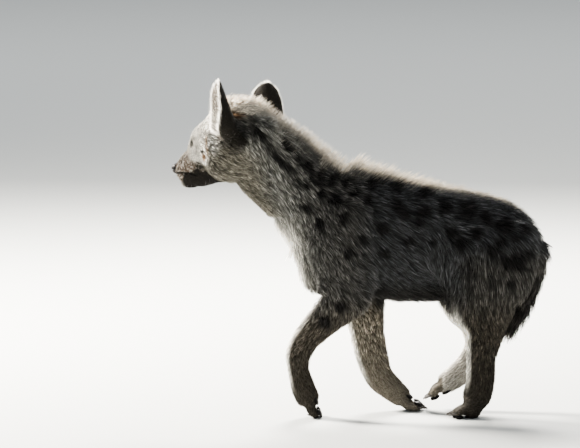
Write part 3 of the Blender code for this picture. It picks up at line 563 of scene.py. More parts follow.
def faceTone(local):
    lx, ly, lz = local[:, 0], np.abs(local[:, 1]), local[:, 2]
    speckle = noise(local, 0.0020, 7)
    blotch = noise(local, 0.0060, 8) - 0.5
    # the pale forehead and the pale side of the face, up to a brown edge in front of the ear
    forehead = rise(-0.014, 0.010, lx + 0.25 * lz) * rise(0.012, 0.028, lz)
    side = rise(0.018, 0.036, lx + 0.008 * blotch)
    side = side * rise(-0.040, -0.027, lz - 0.2 * (lx - 0.05) + 0.010 * blotch)
    edge = np.exp(-((lx - 0.0225 - 0.12 * (0.002 - lz)) / 0.0030) ** 2) * rise(-0.030, -0.018, lz)
    # the dark muzzle; the black jaw, partly dark muddy fur and partly painted shadow under the jaw; the
    # line of the mouth; and the dark patch under the eye, partly dark dots and partly painted shade below
    # the whisker pad
    muzzle = rise(0.074, 0.104, lx - 0.55 * (lz + 0.020) + 0.012 * blotch)
    muzzle *= 1 - 0.5 * rise(-0.020, -0.004, lz) * fall(0.115, 0.135, lx)
    jawLine = ((0.036, 0.050, 0.068, 0.109, 0.126, 0.145), (-0.080, -0.060, -0.044, -0.045, -0.053, -0.060))
    low = np.interp(lx, *jawLine)
    # partly painted shadow: the underside of the jaw is coloured near black
    jaw = fall(-0.0030, 0.0045, lz - low + 0.014 * blotch) * rise(0.034, 0.046, lx)
    # partly painted shade: black speckle below the whisker pad
    under = patchAt(local, (0.070, 0.036, -0.036), (0.015, 0.02, 0.009))
    gap, _ = mouthGap(local)
    high = lz + 0.35 * np.maximum(0, -0.033 - lx)
    # the crown between the ears: partly pale hair, partly painted backlit glow
    crown = rise(0.045, 0.055, high) * fall(0.02, 0.05, lx) * fall(0.036, 0.052, ly)
    layers = [
        ("grey", patchAt(local, (0.004, 0.057, 0.000), (0.020, 0.020, 0.026)) * 0.8),
        ("pale", np.maximum(forehead, side)),
        ("brown", edge * fall(0.006, 0.018, lz) * 0.65),
        ("cheek", side * rise(0.60, 0.80, noise(local, 0.0035, 14)) * 0.5),
        ("muzzle", muzzle * 0.9),
        ("spot", muzzle * rise(0.50, 0.70, speckle) * 0.70),
        ("pale", muzzle * fall(0.28, 0.40, speckle) * 0.80),
        ("black", jaw * (0.97 - 0.25 * rise(0.70, 0.86, speckle))),
        ("black", under * rise(0.25, 0.55, speckle + 0.5 * blotch) * 0.9),
        ("black", np.exp(-(gap / 0.0022) ** 2)),
    ]
    layers += [(name, amount * patchAt(local, at, size)) for at, size, name, amount in facePatches]
    return paint("cheek", layers + [("crest", crown)])


def legFrontRimLight(points):
    # 1 along the front edge of each leg, where the rim light falls; coatTone paints it pale as painted rim
    # light
    flat = points[:, [0, 2]]
    front = np.zeros(len(points))
    for rows in legRows.values():
        line = splineRows(rows, 5)[5:]
        ahead = unit(np.gradient(line[:, [0, 2]], axis=0))
        nearest, _ = nearestOn(line[:, [0, 2]], flat)
        gap = flat - line[nearest][:, [0, 2]]
        forward = gap[:, 0] * ahead[nearest, 1] - gap[:, 1] * ahead[nearest, 0]
        beside = np.abs(points[:, 1] - line[nearest, 1]) < 0.04
        reach = forward / line[nearest, 4]
        front = np.maximum(front, beside * rise(0.56, 0.78, reach) * (reach < 2))
    return front * 0.92 * rise(0.03, 0.07, points[:, 2])


def coatTone(points):
    # the colour of the hair at each point
    w = regionWeights(points)
    x, z = points[:, 0], points[:, 2]
    outer = np.abs(points[:, 1])
    backLine = np.interp(x, trunkRows[:, 0], trunkRows[:, 1])
    # the top of the back is paler: partly pale hair tips, partly painted backlit glow where the light from
    # behind shines through the hair
    crest = rise(-0.018, -0.002, z - backLine) * (x > -0.15) * fall(0.020, 0.045, outer)
    # the inner side of the legs: partly its own pale hair, partly painted sunlight
    inner = w["leg"] * fall(0.036, 0.054, outer) * fall(0.17, 0.22, z)
    # painted shadow: the underside is coloured near black where shade falls under the body
    bellyShadow = fall(0.215, 0.250, z) * rise(-0.060, -0.035, x) * fall(0.085, 0.115, x)
    # painted shade: a dark patch in the crease at the front of the thigh
    foldShade = np.exp(-((x - 0.128) / 0.010) ** 2 - ((z - 0.262) / 0.030) ** 2)
    # painted rim light: the front below the neck is coloured pale where the light from behind catches it
    chestRimLight = fall(-0.205, -0.165, x + 0.12 * (z - 0.30)) * fall(0.030, 0.062, outer)
    colour = paint("flank", (
        ("shoulder", fall(-0.10, -0.03, x)),
        ("thigh", rise(0.09, 0.14, x) * fall(0.26, 0.32, z)),
        ("neck", fall(-0.23, -0.13, x + (z - 0.40) * 0.15)),
        ("crest", crest * 0.3 * fall(0.0, 0.2, x)),
        ("leg", w["leg"]),
        # paler inner side of the legs, mixed further towards pale on the hind legs below: partly their own
        # pale hair, partly painted sunlight
        ("inner", inner * 0.9),
        # painted rim light: pale along the front edges of the legs
        ("pale", np.maximum(w["leg"] * legFrontRimLight(points), inner * (x > 0.08) * 0.45)),
        ("bellyShadow", bellyShadow * rise(0.17, 0.195, z)),
        ("spot", foldShade * 0.6),
        ("spot", spotMask(points) * 0.94 * (1 - w["low"]) * (1 - w["head"])),
        ("pale", chestRimLight * fall(0.31, 0.38, z) * (z > 0.20)),
        ("black", w["tail"] * fall(0.17, 0.27, z) * 0.85),
    ))
    colour = blend(colour, faceTone(w["local"]), w["head"][:, None])
    grain = 0.72 + 0.56 * noise(points, 0.007, 5)
    return colour * grain[:, None]


def lieOf(points, normals):
    # the way the hair lies, in the tangent plane of the skin
    w = regionWeights(points)
    gap = (points[:, None, 0] - flow[:, 0]) ** 2 + (points[:, None, 2] - flow[:, 1]) ** 2
    share = 1 / (gap + 0.0003) ** 2
    share /= share.sum(axis=1, keepdims=True)
    turn = np.radians(flow[:, 2])
    lie = np.column_stack([share @ np.cos(turn), np.zeros(len(points)), -(share @ np.sin(turn))])
    for name, rows in legRows.items():
        line = splineRows(rows[:, :3], 6)
        nearest, gap = nearestOn(line, points)
        close = (gap < 0.07**2) * (points[:, 1] * (-1 if "left" in name else 1) > 0)
        lie = blend(lie, unit(np.gradient(line, axis=0))[nearest], (close * w["leg"])[:, None])
    for ball, toes, _, _ in paws.values():
        close = fall(0.028, 0.040, np.linalg.norm(points - np.array(ball), axis=1))
        toward = np.array([toes[0], 0, toes[1]])
        lie = blend(lie, toward / np.linalg.norm(toward), close[:, None])
    line = splineRows(np.insert(tailRows[:, :2], 1, 0, axis=1), 6)
    nearest, _ = nearestOn(line, points)
    lie = blend(lie, unit(np.gradient(line, axis=0))[nearest], w["tail"][:, None])
    lx, ly, lz = w["local"].T
    down = -0.9 * fall(-0.03, 0.03, lz) + 0.25 * rise(0.03, 0.06, lz)
    outward = 0.25 * np.sign(ly) * rise(0.06, 0.10, lx)
    back = unit(np.column_stack([-np.ones(len(points)), outward, down]))
    lie = blend(lie, headTurned(back), w["head"][:, None])
    lie -= normals * (lie * normals).sum(axis=1, keepdims=True)
    return unit(lie)


def hairSize(points):
    # length, width and lift of the hair at each point
    w = regionWeights(points)
    local = w["local"]
    lx, ly, lz = local[:, 0], np.abs(local[:, 1]), local[:, 2]
    crown = rise(0.040, 0.058, lz) * fall(0.015, 0.05, lx) * fall(0.035, 0.05, ly)
    w["front"] = fall(-0.12, -0.02, points[:, 0])
    w["throat"] = fall(-0.22, -0.17, points[:, 0]) * fall(0.02, 0.06, np.abs(points[:, 1]))
    w["crown"] = w["head"] * crown
    onTail = blend(0.034, 0.024, rise(0.16, 0.24, points[:, 2]))
    onHead = blend(0.0150, 0.0038, rise(0.010, 0.070, lx))
    onHead = blend(onHead, 0.026, crown)
    onHead = blend(onHead, 0.020, patchAt(local, (-0.040, 0.052, 0.0), (0.024, 0.030, 0.030)))
    long = layered(w, {"body": 0.0260, "front": 0.0200, "throat": 0.026, "leg": 0.0130, "low": 0.0085,
                       "foot": 0.0050, "tail": onTail, "head": onHead})
    lift = layered(w, {"body": 30.0, "front": 38.0, "leg": 24.0, "foot": 20.0, "head": 24.0, "crown": 64.0})
    return long, 0.0009 + 0.016 * long, np.radians(lift)


# The coat
def surfaceOf(obj):
    mesh = obj.data
    mesh.calc_loop_triangles()
    corners = valuesOf(mesh.loop_triangles, "vertices", 3, int)
    loops = valuesOf(mesh.loop_triangles, "loops", 3, int)
    points = valuesOf(mesh.vertices, "co", 3)
    a, b, c = (points[corners[:, k]] for k in range(3))
    return {
        "corners": corners, "area": np.linalg.norm(np.cross(b - a, c - a), axis=1) / 2,
        "uvs": valuesOf(mesh.uv_layers["OFBake"].data, "uv", 2)[loops],
        "carried": {"root": points, "normal": valuesOf(mesh.vertices, "normal", 3)},
    }


def rootsOn(surface, density):
    # roots spread over the surface, density of them to a square metre
    middles = surface["carried"]["root"][surface["corners"]].mean(axis=1)
    wanted = surface["area"] * density(middles)
    total = int(wanted.sum())
    chosen = np.searchsorted(np.cumsum(wanted), draw.random(total) * wanted.sum())
    chosen = np.minimum(chosen, len(wanted) - 1)
    u, v = draw.random(total), draw.random(total)
    over = u + v > 1
    u[over], v[over] = 1 - u[over], 1 - v[over]
    parts = np.column_stack([1 - u - v, u, v])[:, :, None]
    corners = surface["corners"][chosen]
    roots = {name: (values[corners] * parts).sum(axis=1) for name, values in surface["carried"].items()}
    roots["normal"] = unit(roots["normal"])
    roots["uv"] = (surface["uvs"][chosen] * parts).sum(axis=1)
    return roots


def pick(roots, keep):
    return {name: values[keep] for name, values in roots.items()}


def dressRoots(roots, plan):
    # gives each root its lie, size and colour, and draws neighbours' tips together
    count = len(roots["root"])
    root, normal = roots["root"], roots["normal"]
    lie = lieOf(root, normal)
    side = np.cross(normal, lie)
    sway = np.radians(plan["wild"]) * (2 * noise(root, 0.018, 9) - 1 + draw.normal(0, 0.45, count))
    lie = lie * np.cos(sway)[:, None] + side * np.sin(sway)[:, None]
    long, wide, lift = hairSize(root)
    long = long * plan["long"] * draw.uniform(0.75, 1.2, count)
    lift = lift * draw.uniform(0.7, 1.3, count)
    early = lie * np.cos(lift)[:, None] + normal * np.sin(lift)[:, None]
    late = lie * np.cos(lift * 0.45)[:, None] + normal * np.sin(lift * 0.45)[:, None]
    middle = root + early * (long * 0.5)[:, None]
    tip = middle + late * (long * 0.5)[:, None]
    if plan["clump"]:
        leaders = draw.choice(count, count // plan["clump"] + 1, replace=False)
        tree = KDTree(len(leaders))
        for leader in leaders:
            tree.insert(root[leader] + early[leader] * long[leader] * 0.3, int(leader))
        tree.balance()
        nearest = np.array([tree.find(point)[1] for point in root + early * (long * 0.3)[:, None]])
        gap = tip[nearest] - tip
        pulled = plan["pull"] * np.minimum(1, long * 0.5 / np.maximum(np.linalg.norm(gap, axis=1), 1e-6))
        tip = tip + gap * pulled[:, None]
        middle = middle + gap * (pulled * 0.3)[:, None]
    tone = coatTone(root * 0.35 + tip * 0.65) * plan["shade"]
    tone *= np.exp(draw.normal(0, plan["vary"], count).clip(-0.9, 0.9))[:, None]
    roots.update(side=side, wide=wide * plan["wide"], middle=middle, tip=tip, tone=tone)
    return roots


tuftPlan = {
    "rootDepth": 0.0008, "uvStep": 0.0008, "high": 0.9,
    "widths": {1: (1,), 2: (0.9, 0.8), 3: (0.9, 1.0, 0.65)},  # of each ring, for tufts of that many rings
}


def tuftMesh(name, roots, rings=2, fade=(0.35, 0.85, 1.25), late=2.0):
    # closed three-sided tufts that taper to a tip, as one mesh; fade darkens their roots and brightens
    # their tips, partly the hair's own dark bases, partly painted shade deep in the coat
    count = len(roots["root"])
    stations = [roots["root"] - roots["normal"] * tuftPlan["rootDepth"]]
    if rings == 3:
        bend = roots["middle"] * 0.75 + (roots["root"] + roots["tip"]) * 0.125
        stations += [blend(stations[0], bend, 0.55), blend(bend, roots["tip"], 0.42)]
    elif rings == 2:
        stations += [roots["middle"]]
    rows = []
    for station, width in zip(stations, tuftPlan["widths"][rings]):
        half = (roots["wide"] * 0.5 * width)[:, None]
        across = roots["side"] * half
        rows += [station - across, station + across, station + roots["normal"] * half * tuftPlan["high"]]
    rows.append(roots["tip"])
    perTuft = 3 * rings + 1
    points = np.stack(rows, axis=1).reshape(-1, 3)
    points[:, 2] = np.maximum(points[:, 2], floorLevel + floorGaps["hair"])
    faces = [(0, 1, 2)]
    for ring in range(rings - 1):
        for k in range(3):
            a, b = 3 * ring + k, 3 * ring + (k + 1) % 3
            faces += [(a, a + 3, b), (b, a + 3, b + 3)]
    top = 3 * (rings - 1)
    faces += [(top + k, perTuft - 1, top + (k + 1) % 3) for k in range(3)]
    faces = (np.array(faces)[None] + (np.arange(count) * perTuft)[:, None, None]).reshape(-1)
    heights = np.append(np.repeat(np.arange(rings), 3), rings)
    ahead = heights[None, :, None] / rings
    tipTone = roots.get("tipTone", roots["tone"])
    colours = blend(roots["tone"][:, None], tipTone[:, None], ahead**late).astype(np.float32)
    # roots darker, tips brighter along each tuft: partly the hair's own banding, partly painted shade deep
    # in the coat
    colours *= np.interp(heights, (0, rings / 2, rings), fade)[None, :, None]
    patch = np.array([(k % 3 - 1, k // 3 - 1) for k in range(perTuft)]) * tuftPlan["uvStep"]
    uvs = roots["uv"][:, None] + patch[None]
    mesh = bpy.data.meshes.new(name)
    mesh.vertices.add(len(points))
    mesh.vertices.foreach_set("co", points.ravel())
    mesh.loops.add(len(faces))
    mesh.loops.foreach_set("vertex_index", faces)
    mesh.polygons.add(len(faces) // 3)
    mesh.polygons.foreach_set("loop_start", np.arange(0, len(faces), 3))
    mesh.update(calc_edges=True)
    setTone(mesh, colours.reshape(-1, 3))
    layer = mesh.uv_layers.new(name="OFBake")
    layer.data.foreach_set("uv", uvs.reshape(-1, 2)[faces].ravel())
    mesh.shade_smooth()
    return newObject(name, mesh)


nosePlan = {"x": 0.1503, "z": -0.0282, "radii": (0.0122, 0.0150, 0.0118)}
padPlan = {
    "sole": ((-0.002, 0, -0.0115), (0.0125, 0.0155, 0.0050)),
    "toe": ((-0.001, 0, -0.0068), (0.0075, 0.0055, 0.0034)),  # place from the end of the toe
}
padBalls = []
for pawName in paws:
    centre, radii = padPlan["sole"]
    padBalls.append((pawPlace(pawName), np.array(centre), np.array(radii)))
    off, radii = padPlan["toe"]
    for toeNumber in range(toePlan["count"]):
        padBalls.append((pawPlace(pawName), np.array(toeLine(toeNumber)[-1]) + off, np.array(radii)))


def bareSkin(points):
    # true where no hair grows: eyes, nose and pads
    local = inHead(points)
    bare = np.zeros(len(points), bool)
    wide, high = eyePlan["bare"]
    for left in (1, -1):
        centre, look, side, up = eyeFrame(left)
        away = local - centre
        almond = np.hypot(away @ side / wide, away @ up / high)
        bare |= (away @ look > 0.004) & (almond < 1)
    nose = (local - np.array([nosePlan["x"], 0, nosePlan["z"]])) / np.array(nosePlan["radii"])
    bare |= np.linalg.norm(nose, axis=1) < 1.12
    for place, centre, radii in padBalls:
        inside = np.array(place.inverted())
        away = (points @ inside[:3, :3].T + inside[:3, 3] - centre) / radii
        bare |= np.linalg.norm(away, axis=1) < 1.1
    return bare


# clump, pull and wild shape the locks; long, wide and shade scale the hair; vary is from tuft to tuft
coatPlan = {
    "coat": {"clump": 9, "pull": 0.35, "wild": 15, "long": 1.0, "wide": 1.0, "shade": 1.05, "vary": 0.48},
    "under": {"clump": 0, "wild": 15, "long": 0.70, "wide": 1.45, "shade": 0.75, "vary": 0.22},
    "short": {"clump": 5, "pull": 0.25, "wild": 10, "long": 1.0, "wide": 1.0, "shade": 1.0, "vary": 0.24},
}
hairCounts = {  # roots to a square metre
    "body": {"body": 110000, "leg": 190000, "low": 0, "tail": 170000, "head": 230000},
    "under": 1.55, "low": 520000, "foot": 620000, "face": 1550000, "mane": 260000, "ear": 560000,
}
coatCuts = {  # name and reach in x of each piece
    "coat": (("Head", -9, -0.265), ("Neck", -0.265, -0.165), ("Shoulder", -0.165, -0.085),
             ("Flank", -0.085, 0.03), ("Thigh", 0.03, 0.145), ("Rump", 0.145, 9)),
    "under": (("Front", -9, -0.165), ("Middle", -0.165, 0.03), ("Rear", 0.03, 9)),
}
paleTipsAndSheen = {"share": 0.20, "least": 1.1, "more": 1.9, "add": 0.004}  # pale tips among the long hair
surface = surfaceOf(skin)
pieces = []


def bodyDensity(points, share=1.0):
    w = regionWeights(points)
    w["low"] = w["low"] * (1 - w["tail"])
    return share * layered(w, hairCounts["body"]) * (1 - w["head"] * rise(0.045, 0.06, w["local"][:, 0]))


def underDensity(points):
    return bodyDensity(points, hairCounts["under"])


def shortDensity(points):
    w = regionWeights(points)
    density = blend(hairCounts["low"] * w["low"], hairCounts["foot"], w["foot"])
    onFace = hairCounts["face"] * rise(0.040, 0.055, w["local"][:, 0])
    return blend(density, onFace, w["head"]) * (1 - w["tail"])


def grow(kind, density):
    roots = rootsOn(surface, density)
    return dressRoots(pick(roots, ~bareSkin(roots["root"])), coatPlan[kind])


def addCoat(kind, roots, **looks):
    for part, low, high in coatCuts[kind]:
        keep = (roots["root"][:, 0] >= low) & (roots["root"][:, 0] < high)
        pieces.append(tuftMesh(kind + part, pick(roots, keep), **looks))
        print(kind + part, keep.sum())


guard = grow("coat", bodyDensity)
# one tuft in five gets brighter tips: partly pale-tipped hair, partly painted sheen highlights
light = (draw.random(len(guard["tone"])) < paleTipsAndSheen["share"])[:, None]
guard["tipTone"] = guard["tone"] * (paleTipsAndSheen["least"] + paleTipsAndSheen["more"] * light) + paleTipsAndSheen["add"]
addCoat("coat", guard, fade=(0.30, 0.85, 1.30))
addCoat("under", grow("under", underDensity), rings=1, fade=(0.35, 0.7, 1.05))
short = grow("short", shortDensity)
onHead = (inHead(short["root"])[:, 0] > 0.03) & (short["root"][:, 2] > headPlan["lowest"])
for name, keep in (("coatFace", onHead), ("coatFeet", ~onHead)):
    pieces.append(tuftMesh(name, pick(short, keep), rings=1))
    print(name, keep.sum())

# Long hair along the nape and back
manePlan = {  # x, then the length of the hair; x, then how far it leans back, in degrees
    "long": ((-0.32, -0.26, -0.20, -0.15, -0.10, -0.03, 0.02, 0.07, 0.2),
             (0.024, 0.031, 0.029, 0.033, 0.043, 0.045, 0.042, 0.034, 0.022)),
    "lean": ((-0.30, -0.20, -0.14, -0.09, -0.03, 0.07, 0.2), (42, 38, 32, 34, 44, 56, 70)),
    "bend": 0.22, "wide": 0.0012, "neckEnd": -0.14,
}


def maneDensity(points):
    x, y, z = points.T
    line = np.interp(x, trunkRows[:, 0], trunkRows[:, 1])
    nape = np.interp(x, neckRows[:, 0], neckRows[:, 1] + neckRows[:, 3] * 0.85)
    top = np.where(x < manePlan["neckEnd"], nape, line)
    above = rise(-0.040, -0.010, z - top) * fall(0.018, 0.036, np.abs(y))
    above *= (x > -0.31) * fall(0.17, 0.23, x) * (1 - regionWeights(points)["face"])
    return hairCounts["mane"] * above


def maneRoots():
    roots = rootsOn(surface, maneDensity)
    count = len(roots["root"])
    root, normal = roots["root"], roots["normal"]
    x = root[:, 0]
    middle = fall(0.005, 0.021, np.abs(root[:, 1]))
    long = np.interp(x, *manePlan["long"]) * draw.uniform(0.55, 1.08, count) * (0.58 + 0.42 * middle)
    lean = np.radians(np.interp(x, *manePlan["lean"]))
    lean += np.radians(draw.normal(0, 7, count) + 12 * (noise(root, 0.02, 12) - 0.5))
    aside = normal[:, 1] * 0.75 + draw.normal(0, 0.07, count)
    early = unit(np.column_stack([np.sin(lean), aside, np.cos(lean)]))
    lean = lean + manePlan["bend"]
    late = unit(np.column_stack([np.sin(lean), aside * 0.7, np.cos(lean)]))
    side = unit(np.cross(np.cross(early, [0.0, 0.0, 1.0]), early) + draw.normal(0, 0.5, (count, 3)))
    bend = root + early * (long * 0.5)[:, None]
    tip = bend + late * (long * 0.5)[:, None]
    tone = coatTone(root) * np.exp(draw.normal(0, 0.25, count))[:, None]
    # the crown and the middle of the mane over the withers are partly pale-tipped hair, partly painted
    # backlit glow
    onBack = rise(-0.21, -0.16, x)
    crown = fall(-0.28, -0.26, x)
    pale = blend(0.25 + 0.45 * middle, 0.92 * middle, onBack)
    pale = blend(pale, 0.9, crown)
    withers = onBack * fall(0.04, 0.10, x)
    tone = blend(tone, tones["crest"], (0.55 * middle * withers + 0.8 * crown)[:, None])
    roots.update(side=side, wide=np.full(count, manePlan["wide"]), middle=bend, tip=tip, tone=tone)
    # tips brighter still: partly pale hair, partly painted backlit glow
    roots["tipTone"] = blend(tone * 1.3, tones["crest"], pale[:, None])
    return roots


mane = maneRoots()
pieces.append(tuftMesh("mane", mane, rings=3, fade=(0.5, 1.0, 1.15), late=0.7))
print("mane", len(mane["root"]))

# Stiff hairs on the lip, the chin, the cheek and the brow
whiskerPlan = (  # how many, length, the way they point, reach in x and z, least distance from the middle
    (30, 0.027, (-0.35, 0.9, -0.35), (0.108, 0.136), (-0.046, -0.022), 0.014),
    (10, 0.018, (0.1, 0.3, -1.0), (0.09, 0.13), (-1, -0.062), -1),
    (6, 0.020, (0.1, 0.2, -1.0), (0.055, 0.075), (-1, -0.060), -1),
    (8, 0.020, (0.55, 0.35, 0.8), (0.058, 0.078), (0.026, 1), 0.012),
)
whiskerLook = {"wide": 0.0004, "droop": 0.25, "dark": 0.03, "pale": 0.60, "darkShare": 0.4}


def whiskerRoots():
    local = inHead(short["root"])
    lx, ly, lz = local[:, 0], np.abs(local[:, 1]), local[:, 2]
    chosen = []
    for number, _, _, (back, front), (low, high), inner in whiskerPlan:
        group = np.flatnonzero((lx > back) & (lx < front) & (lz > low) & (lz < high) & (ly > inner))
        chosen.append(draw.choice(group, number, replace=False))
    chosen = np.concatenate(chosen)
    numbers, longs, ways = (list(column) for column in list(zip(*whiskerPlan))[:3])
    roots = pick({name: short[name] for name in ("root", "normal", "uv", "side")}, chosen)
    count = len(chosen)
    kind = np.repeat(np.arange(len(numbers)), numbers)
    long = np.array(longs)[kind] * draw.uniform(0.6, 1.1, count)
    ways = np.array(ways)[kind]
    ways[:, 1] *= np.sign(local[chosen, 1])
    ways = unit(headTurned(unit(ways)) + roots["normal"] * 0.5 + draw.normal(0, 0.10, (count, 3)))
    roots["middle"] = roots["root"] + ways * (long * 0.5)[:, None]
    roots["tip"] = roots["root"] + unit(ways - [0, 0, whiskerLook["droop"]]) * long[:, None]
    roots["wide"] = np.full(count, whiskerLook["wide"])
    dark = (kind == 0) & (draw.random(count) < whiskerLook["darkShare"])
    tone = np.where(dark, whiskerLook["dark"], whiskerLook["pale"])
    roots["tone"] = np.repeat(tone[:, None], 3, axis=1)
    return roots


pieces.append(tuftMesh("whiskers", whiskerRoots(), rings=3, fade=(0.9, 1.0, 1.0)))
print("whiskers")


# Materials
def plainMaterial(name, colour, roughness, specular=0.5):
    made = bpy.data.materials.new(name)
    made.use_nodes = True
    shader = made.node_tree.nodes["Principled BSDF"]
    shader.inputs["Base Color"].default_value = (*colour, 1)
    shader.inputs["Roughness"].default_value = roughness
    shader.inputs["Specular IOR Level"].default_value = specular
    return made


def tonedMaterial(name, roughness, specular):
    # takes its colour from the tone stored on the mesh
    made = plainMaterial(name, (0.5, 0.5, 0.5), roughness, specular)
    nodes = made.node_tree.nodes
    tone = nodes.new("ShaderNodeAttribute")
    tone.attribute_name = "tone"
    made.node_tree.links.new(tone.outputs["Color"], nodes["Principled BSDF"].inputs["Base Color"])
    return made


furMaterial = tonedMaterial("fur", 0.55, 0.22)
skinMaterial = tonedMaterial("skin", 0.80, 0.15)
eyeMaterial = plainMaterial("eyeBall", (0.006, 0.004, 0.003), 0.12, 0.30)
leather = plainMaterial("leather", (0.006, 0.005, 0.005), 0.50, 0.15)
horn = plainMaterial("horn", (0.045, 0.038, 0.032), 0.35)
lidMaterial = plainMaterial("lids", (0.006, 0.005, 0.005), 0.75, 0.10)
skinShade = 0.40  # how dark the skin is under the hair
setTone(skin.data, coatTone(surface["carried"]["root"]) * skinShade)
print("materials")

# Eyes, nose, ears, claws and pads
details = []
lidPlan = {  # lift off the ball and width of each ring, from the opening outwards
    "rings": ((0.0002, 1.00), (0.0012, 1.02), (0.0019, 1.12), (0.0018, 1.30), (0.0006, 1.55)), "around": 48,
}


def addDetail(obj, material, slotName, nodes=()):
    obj.data.materials.append(material)
    details.append((obj, slotName, nodes))


def makeLids(name, eyeAt):
    # a ring swept round the almond between the lids
    bm = bmesh.new()
    around = lidPlan["around"]
    wide, high = eyePlan["opening"]
    rings = []
    for lift, grown in lidPlan["rings"]:
        ring = []
        for i in range(around):
            angle = math.tau * i / around
            u = wide * grown * math.cos(angle)
            v = high * grown * math.sin(angle) * (1 - eyePlan["corner"] * abs(math.cos(angle)))
            ahead = math.sqrt(max((eyePlan["radius"] + lift) ** 2 - u**2 - v**2, 1e-8))
            ring.append(bm.verts.new((ahead, u, v)))
        rings.append(ring)
    for inner, outer in zip(rings, rings[1:]):
        for i in range(around):
            j = (i + 1) % around
            bm.faces.new((inner[i], inner[j], outer[j], outer[i]))
    bm.transform(eyeAt)
    return meshObject(name, bm)


for sideName, left in (("left", 1), ("right", -1)):
    centre, *axes = eyeFrame(left)
    eyeAt = head @ placeOf(axes, centre)
    eye = roundObject("eyeBall" + sideName.capitalize(), [(eyeAt, (0, 0, 0), [eyePlan["radius"]] * 3)], 5)
    addDetail(eye, eyeMaterial, "eye", ["eye_" + sideName])
    addDetail(makeLids("lids" + sideName.capitalize(), eyeAt), lidMaterial, "face")
print("eyes")


def makeNose():
    # nostrils that curl out to the side, a groove down the middle and a flatter top
    nose = roundObject("noseLeather", [(head, (nosePlan["x"], 0, nosePlan["z"]), nosePlan["radii"])], 6)
    local = inHead(valuesOf(nose.data.vertices, "co", 3))
    x, y, z = local.T - np.array([[nosePlan["x"]], [0], [nosePlan["z"]]])
    side = np.abs(y)
    hole = np.exp(-((side - 0.0066) / 0.0024) ** 2 - ((z - 0.0008) / 0.0027) ** 2) * (x > 0)
    slit = np.exp(-((z + 0.0012 + 0.25 * (side - 0.008)) / 0.0011) ** 2) * rise(0.006, 0.010, side)
    groove = np.exp(-(y / 0.0007) ** 2) * (z < 0.002) * (x > 0)
    local[:, 0] -= 0.0052 * hole + 0.0022 * slit * (x > -0.004) + 0.0009 * groove
    local[:, 1] -= np.sign(y) * 0.0022 * slit
    local[:, 2] -= 0.0012 * rise(0.004, 0.011, z) + 0.0006 * hole
    movePoints(nose.data, headTurned(local) + headAt)
    return nose


addDetail(makeNose(), leather, "nose", ["nose"])
earPlan = {
    "left": {"root": (-0.0415, 0.057, 0.004), "tip": (-0.0325, 0.0750, 0.104), "faces": 56},
    "right": {"root": (-0.033, 0.057, 0.004), "tip": (-0.024, 0.0750, 0.104), "faces": 32},
    "halfWidth": 0.0310, "depth": 0.010, "wall": 0.0024, "columns": 28, "rows": 28,
    "back": tones["leg"] * 0.45, "inside": tones["muzzle"] * 0.4, "hairInside": tones["muzzle"] * 0.3,
}
earRows = (  # height, half width, curl in degrees
    (-0.20, 0.45, 160), (-0.05, 0.55, 150), (0.06, 0.64, 140), (0.15, 0.84, 118), (0.32, 1.00, 92),
    (0.52, 1.04, 72), (0.72, 0.93, 62), (0.87, 0.72, 55), (0.95, 0.46, 50), (1.00, 0.12, 45),
)


def makeEar(sideName, left):
    root, tip = (Vector(earPlan[sideName][end]) * Vector((1, left, 1)) for end in ("root", "tip"))
    up = (tip - root).normalized()
    turn = math.radians(earPlan[sideName]["faces"])
    face = Vector((math.cos(turn), math.sin(turn) * left, 0))
    face = (face - up * face.dot(up)).normalized()
    across = up.cross(face)
    heights, halfWidths, curls = zip(*earRows)
    depth = earPlan["depth"]
    bm = bmesh.new()
    edge = bm.verts.layers.float.new("edge")
    tall = bm.verts.layers.float.new("tall")
    axis = bm.verts.layers.float_vector.new("axis")
    made = bmesh.ops.create_grid(bm, x_segments=earPlan["columns"], y_segments=earPlan["rows"], size=1)
    for vert in made["verts"]:
        column, row = vert.co.x, (vert.co.y + 1) / 2
        height = heights[0] + (1 - heights[0]) * row**0.85
        wide = np.interp(height, heights, halfWidths) * earPlan["halfWidth"]
        curl = math.radians(np.interp(height, heights, curls))
        bend = wide / math.sin(min(curl, math.pi / 2))
        forward = bend * (1 - math.cos(column * curl)) - depth * (1 - 0.5 * max(0.0, height))
        middle = root + up * (tip - root).length * height
        vert.co = middle + (across * bend * math.sin(column * curl) + face * forward)
        vert.co.y -= left * 0.42 * max(0.0, 0.10 - height) ** 2  # the base sinks into the head
        vert[axis] = head @ (middle + face * (bend - depth * 0.5))
        vert[edge] = max(abs(column), row**3)
        vert[tall] = height
    bm.transform(head)
    ear = meshObject("ear" + sideName.capitalize(), bm)
    wall = ear.modifiers.new("wall", "SOLIDIFY")
    wall.thickness = earPlan["wall"]
    wall.offset = 0
    bakeModifiers(ear)
    ear.data.shade_smooth()
    addUv(ear)
    return ear, headTurned(np.array(face)), headTurned(np.array(up))


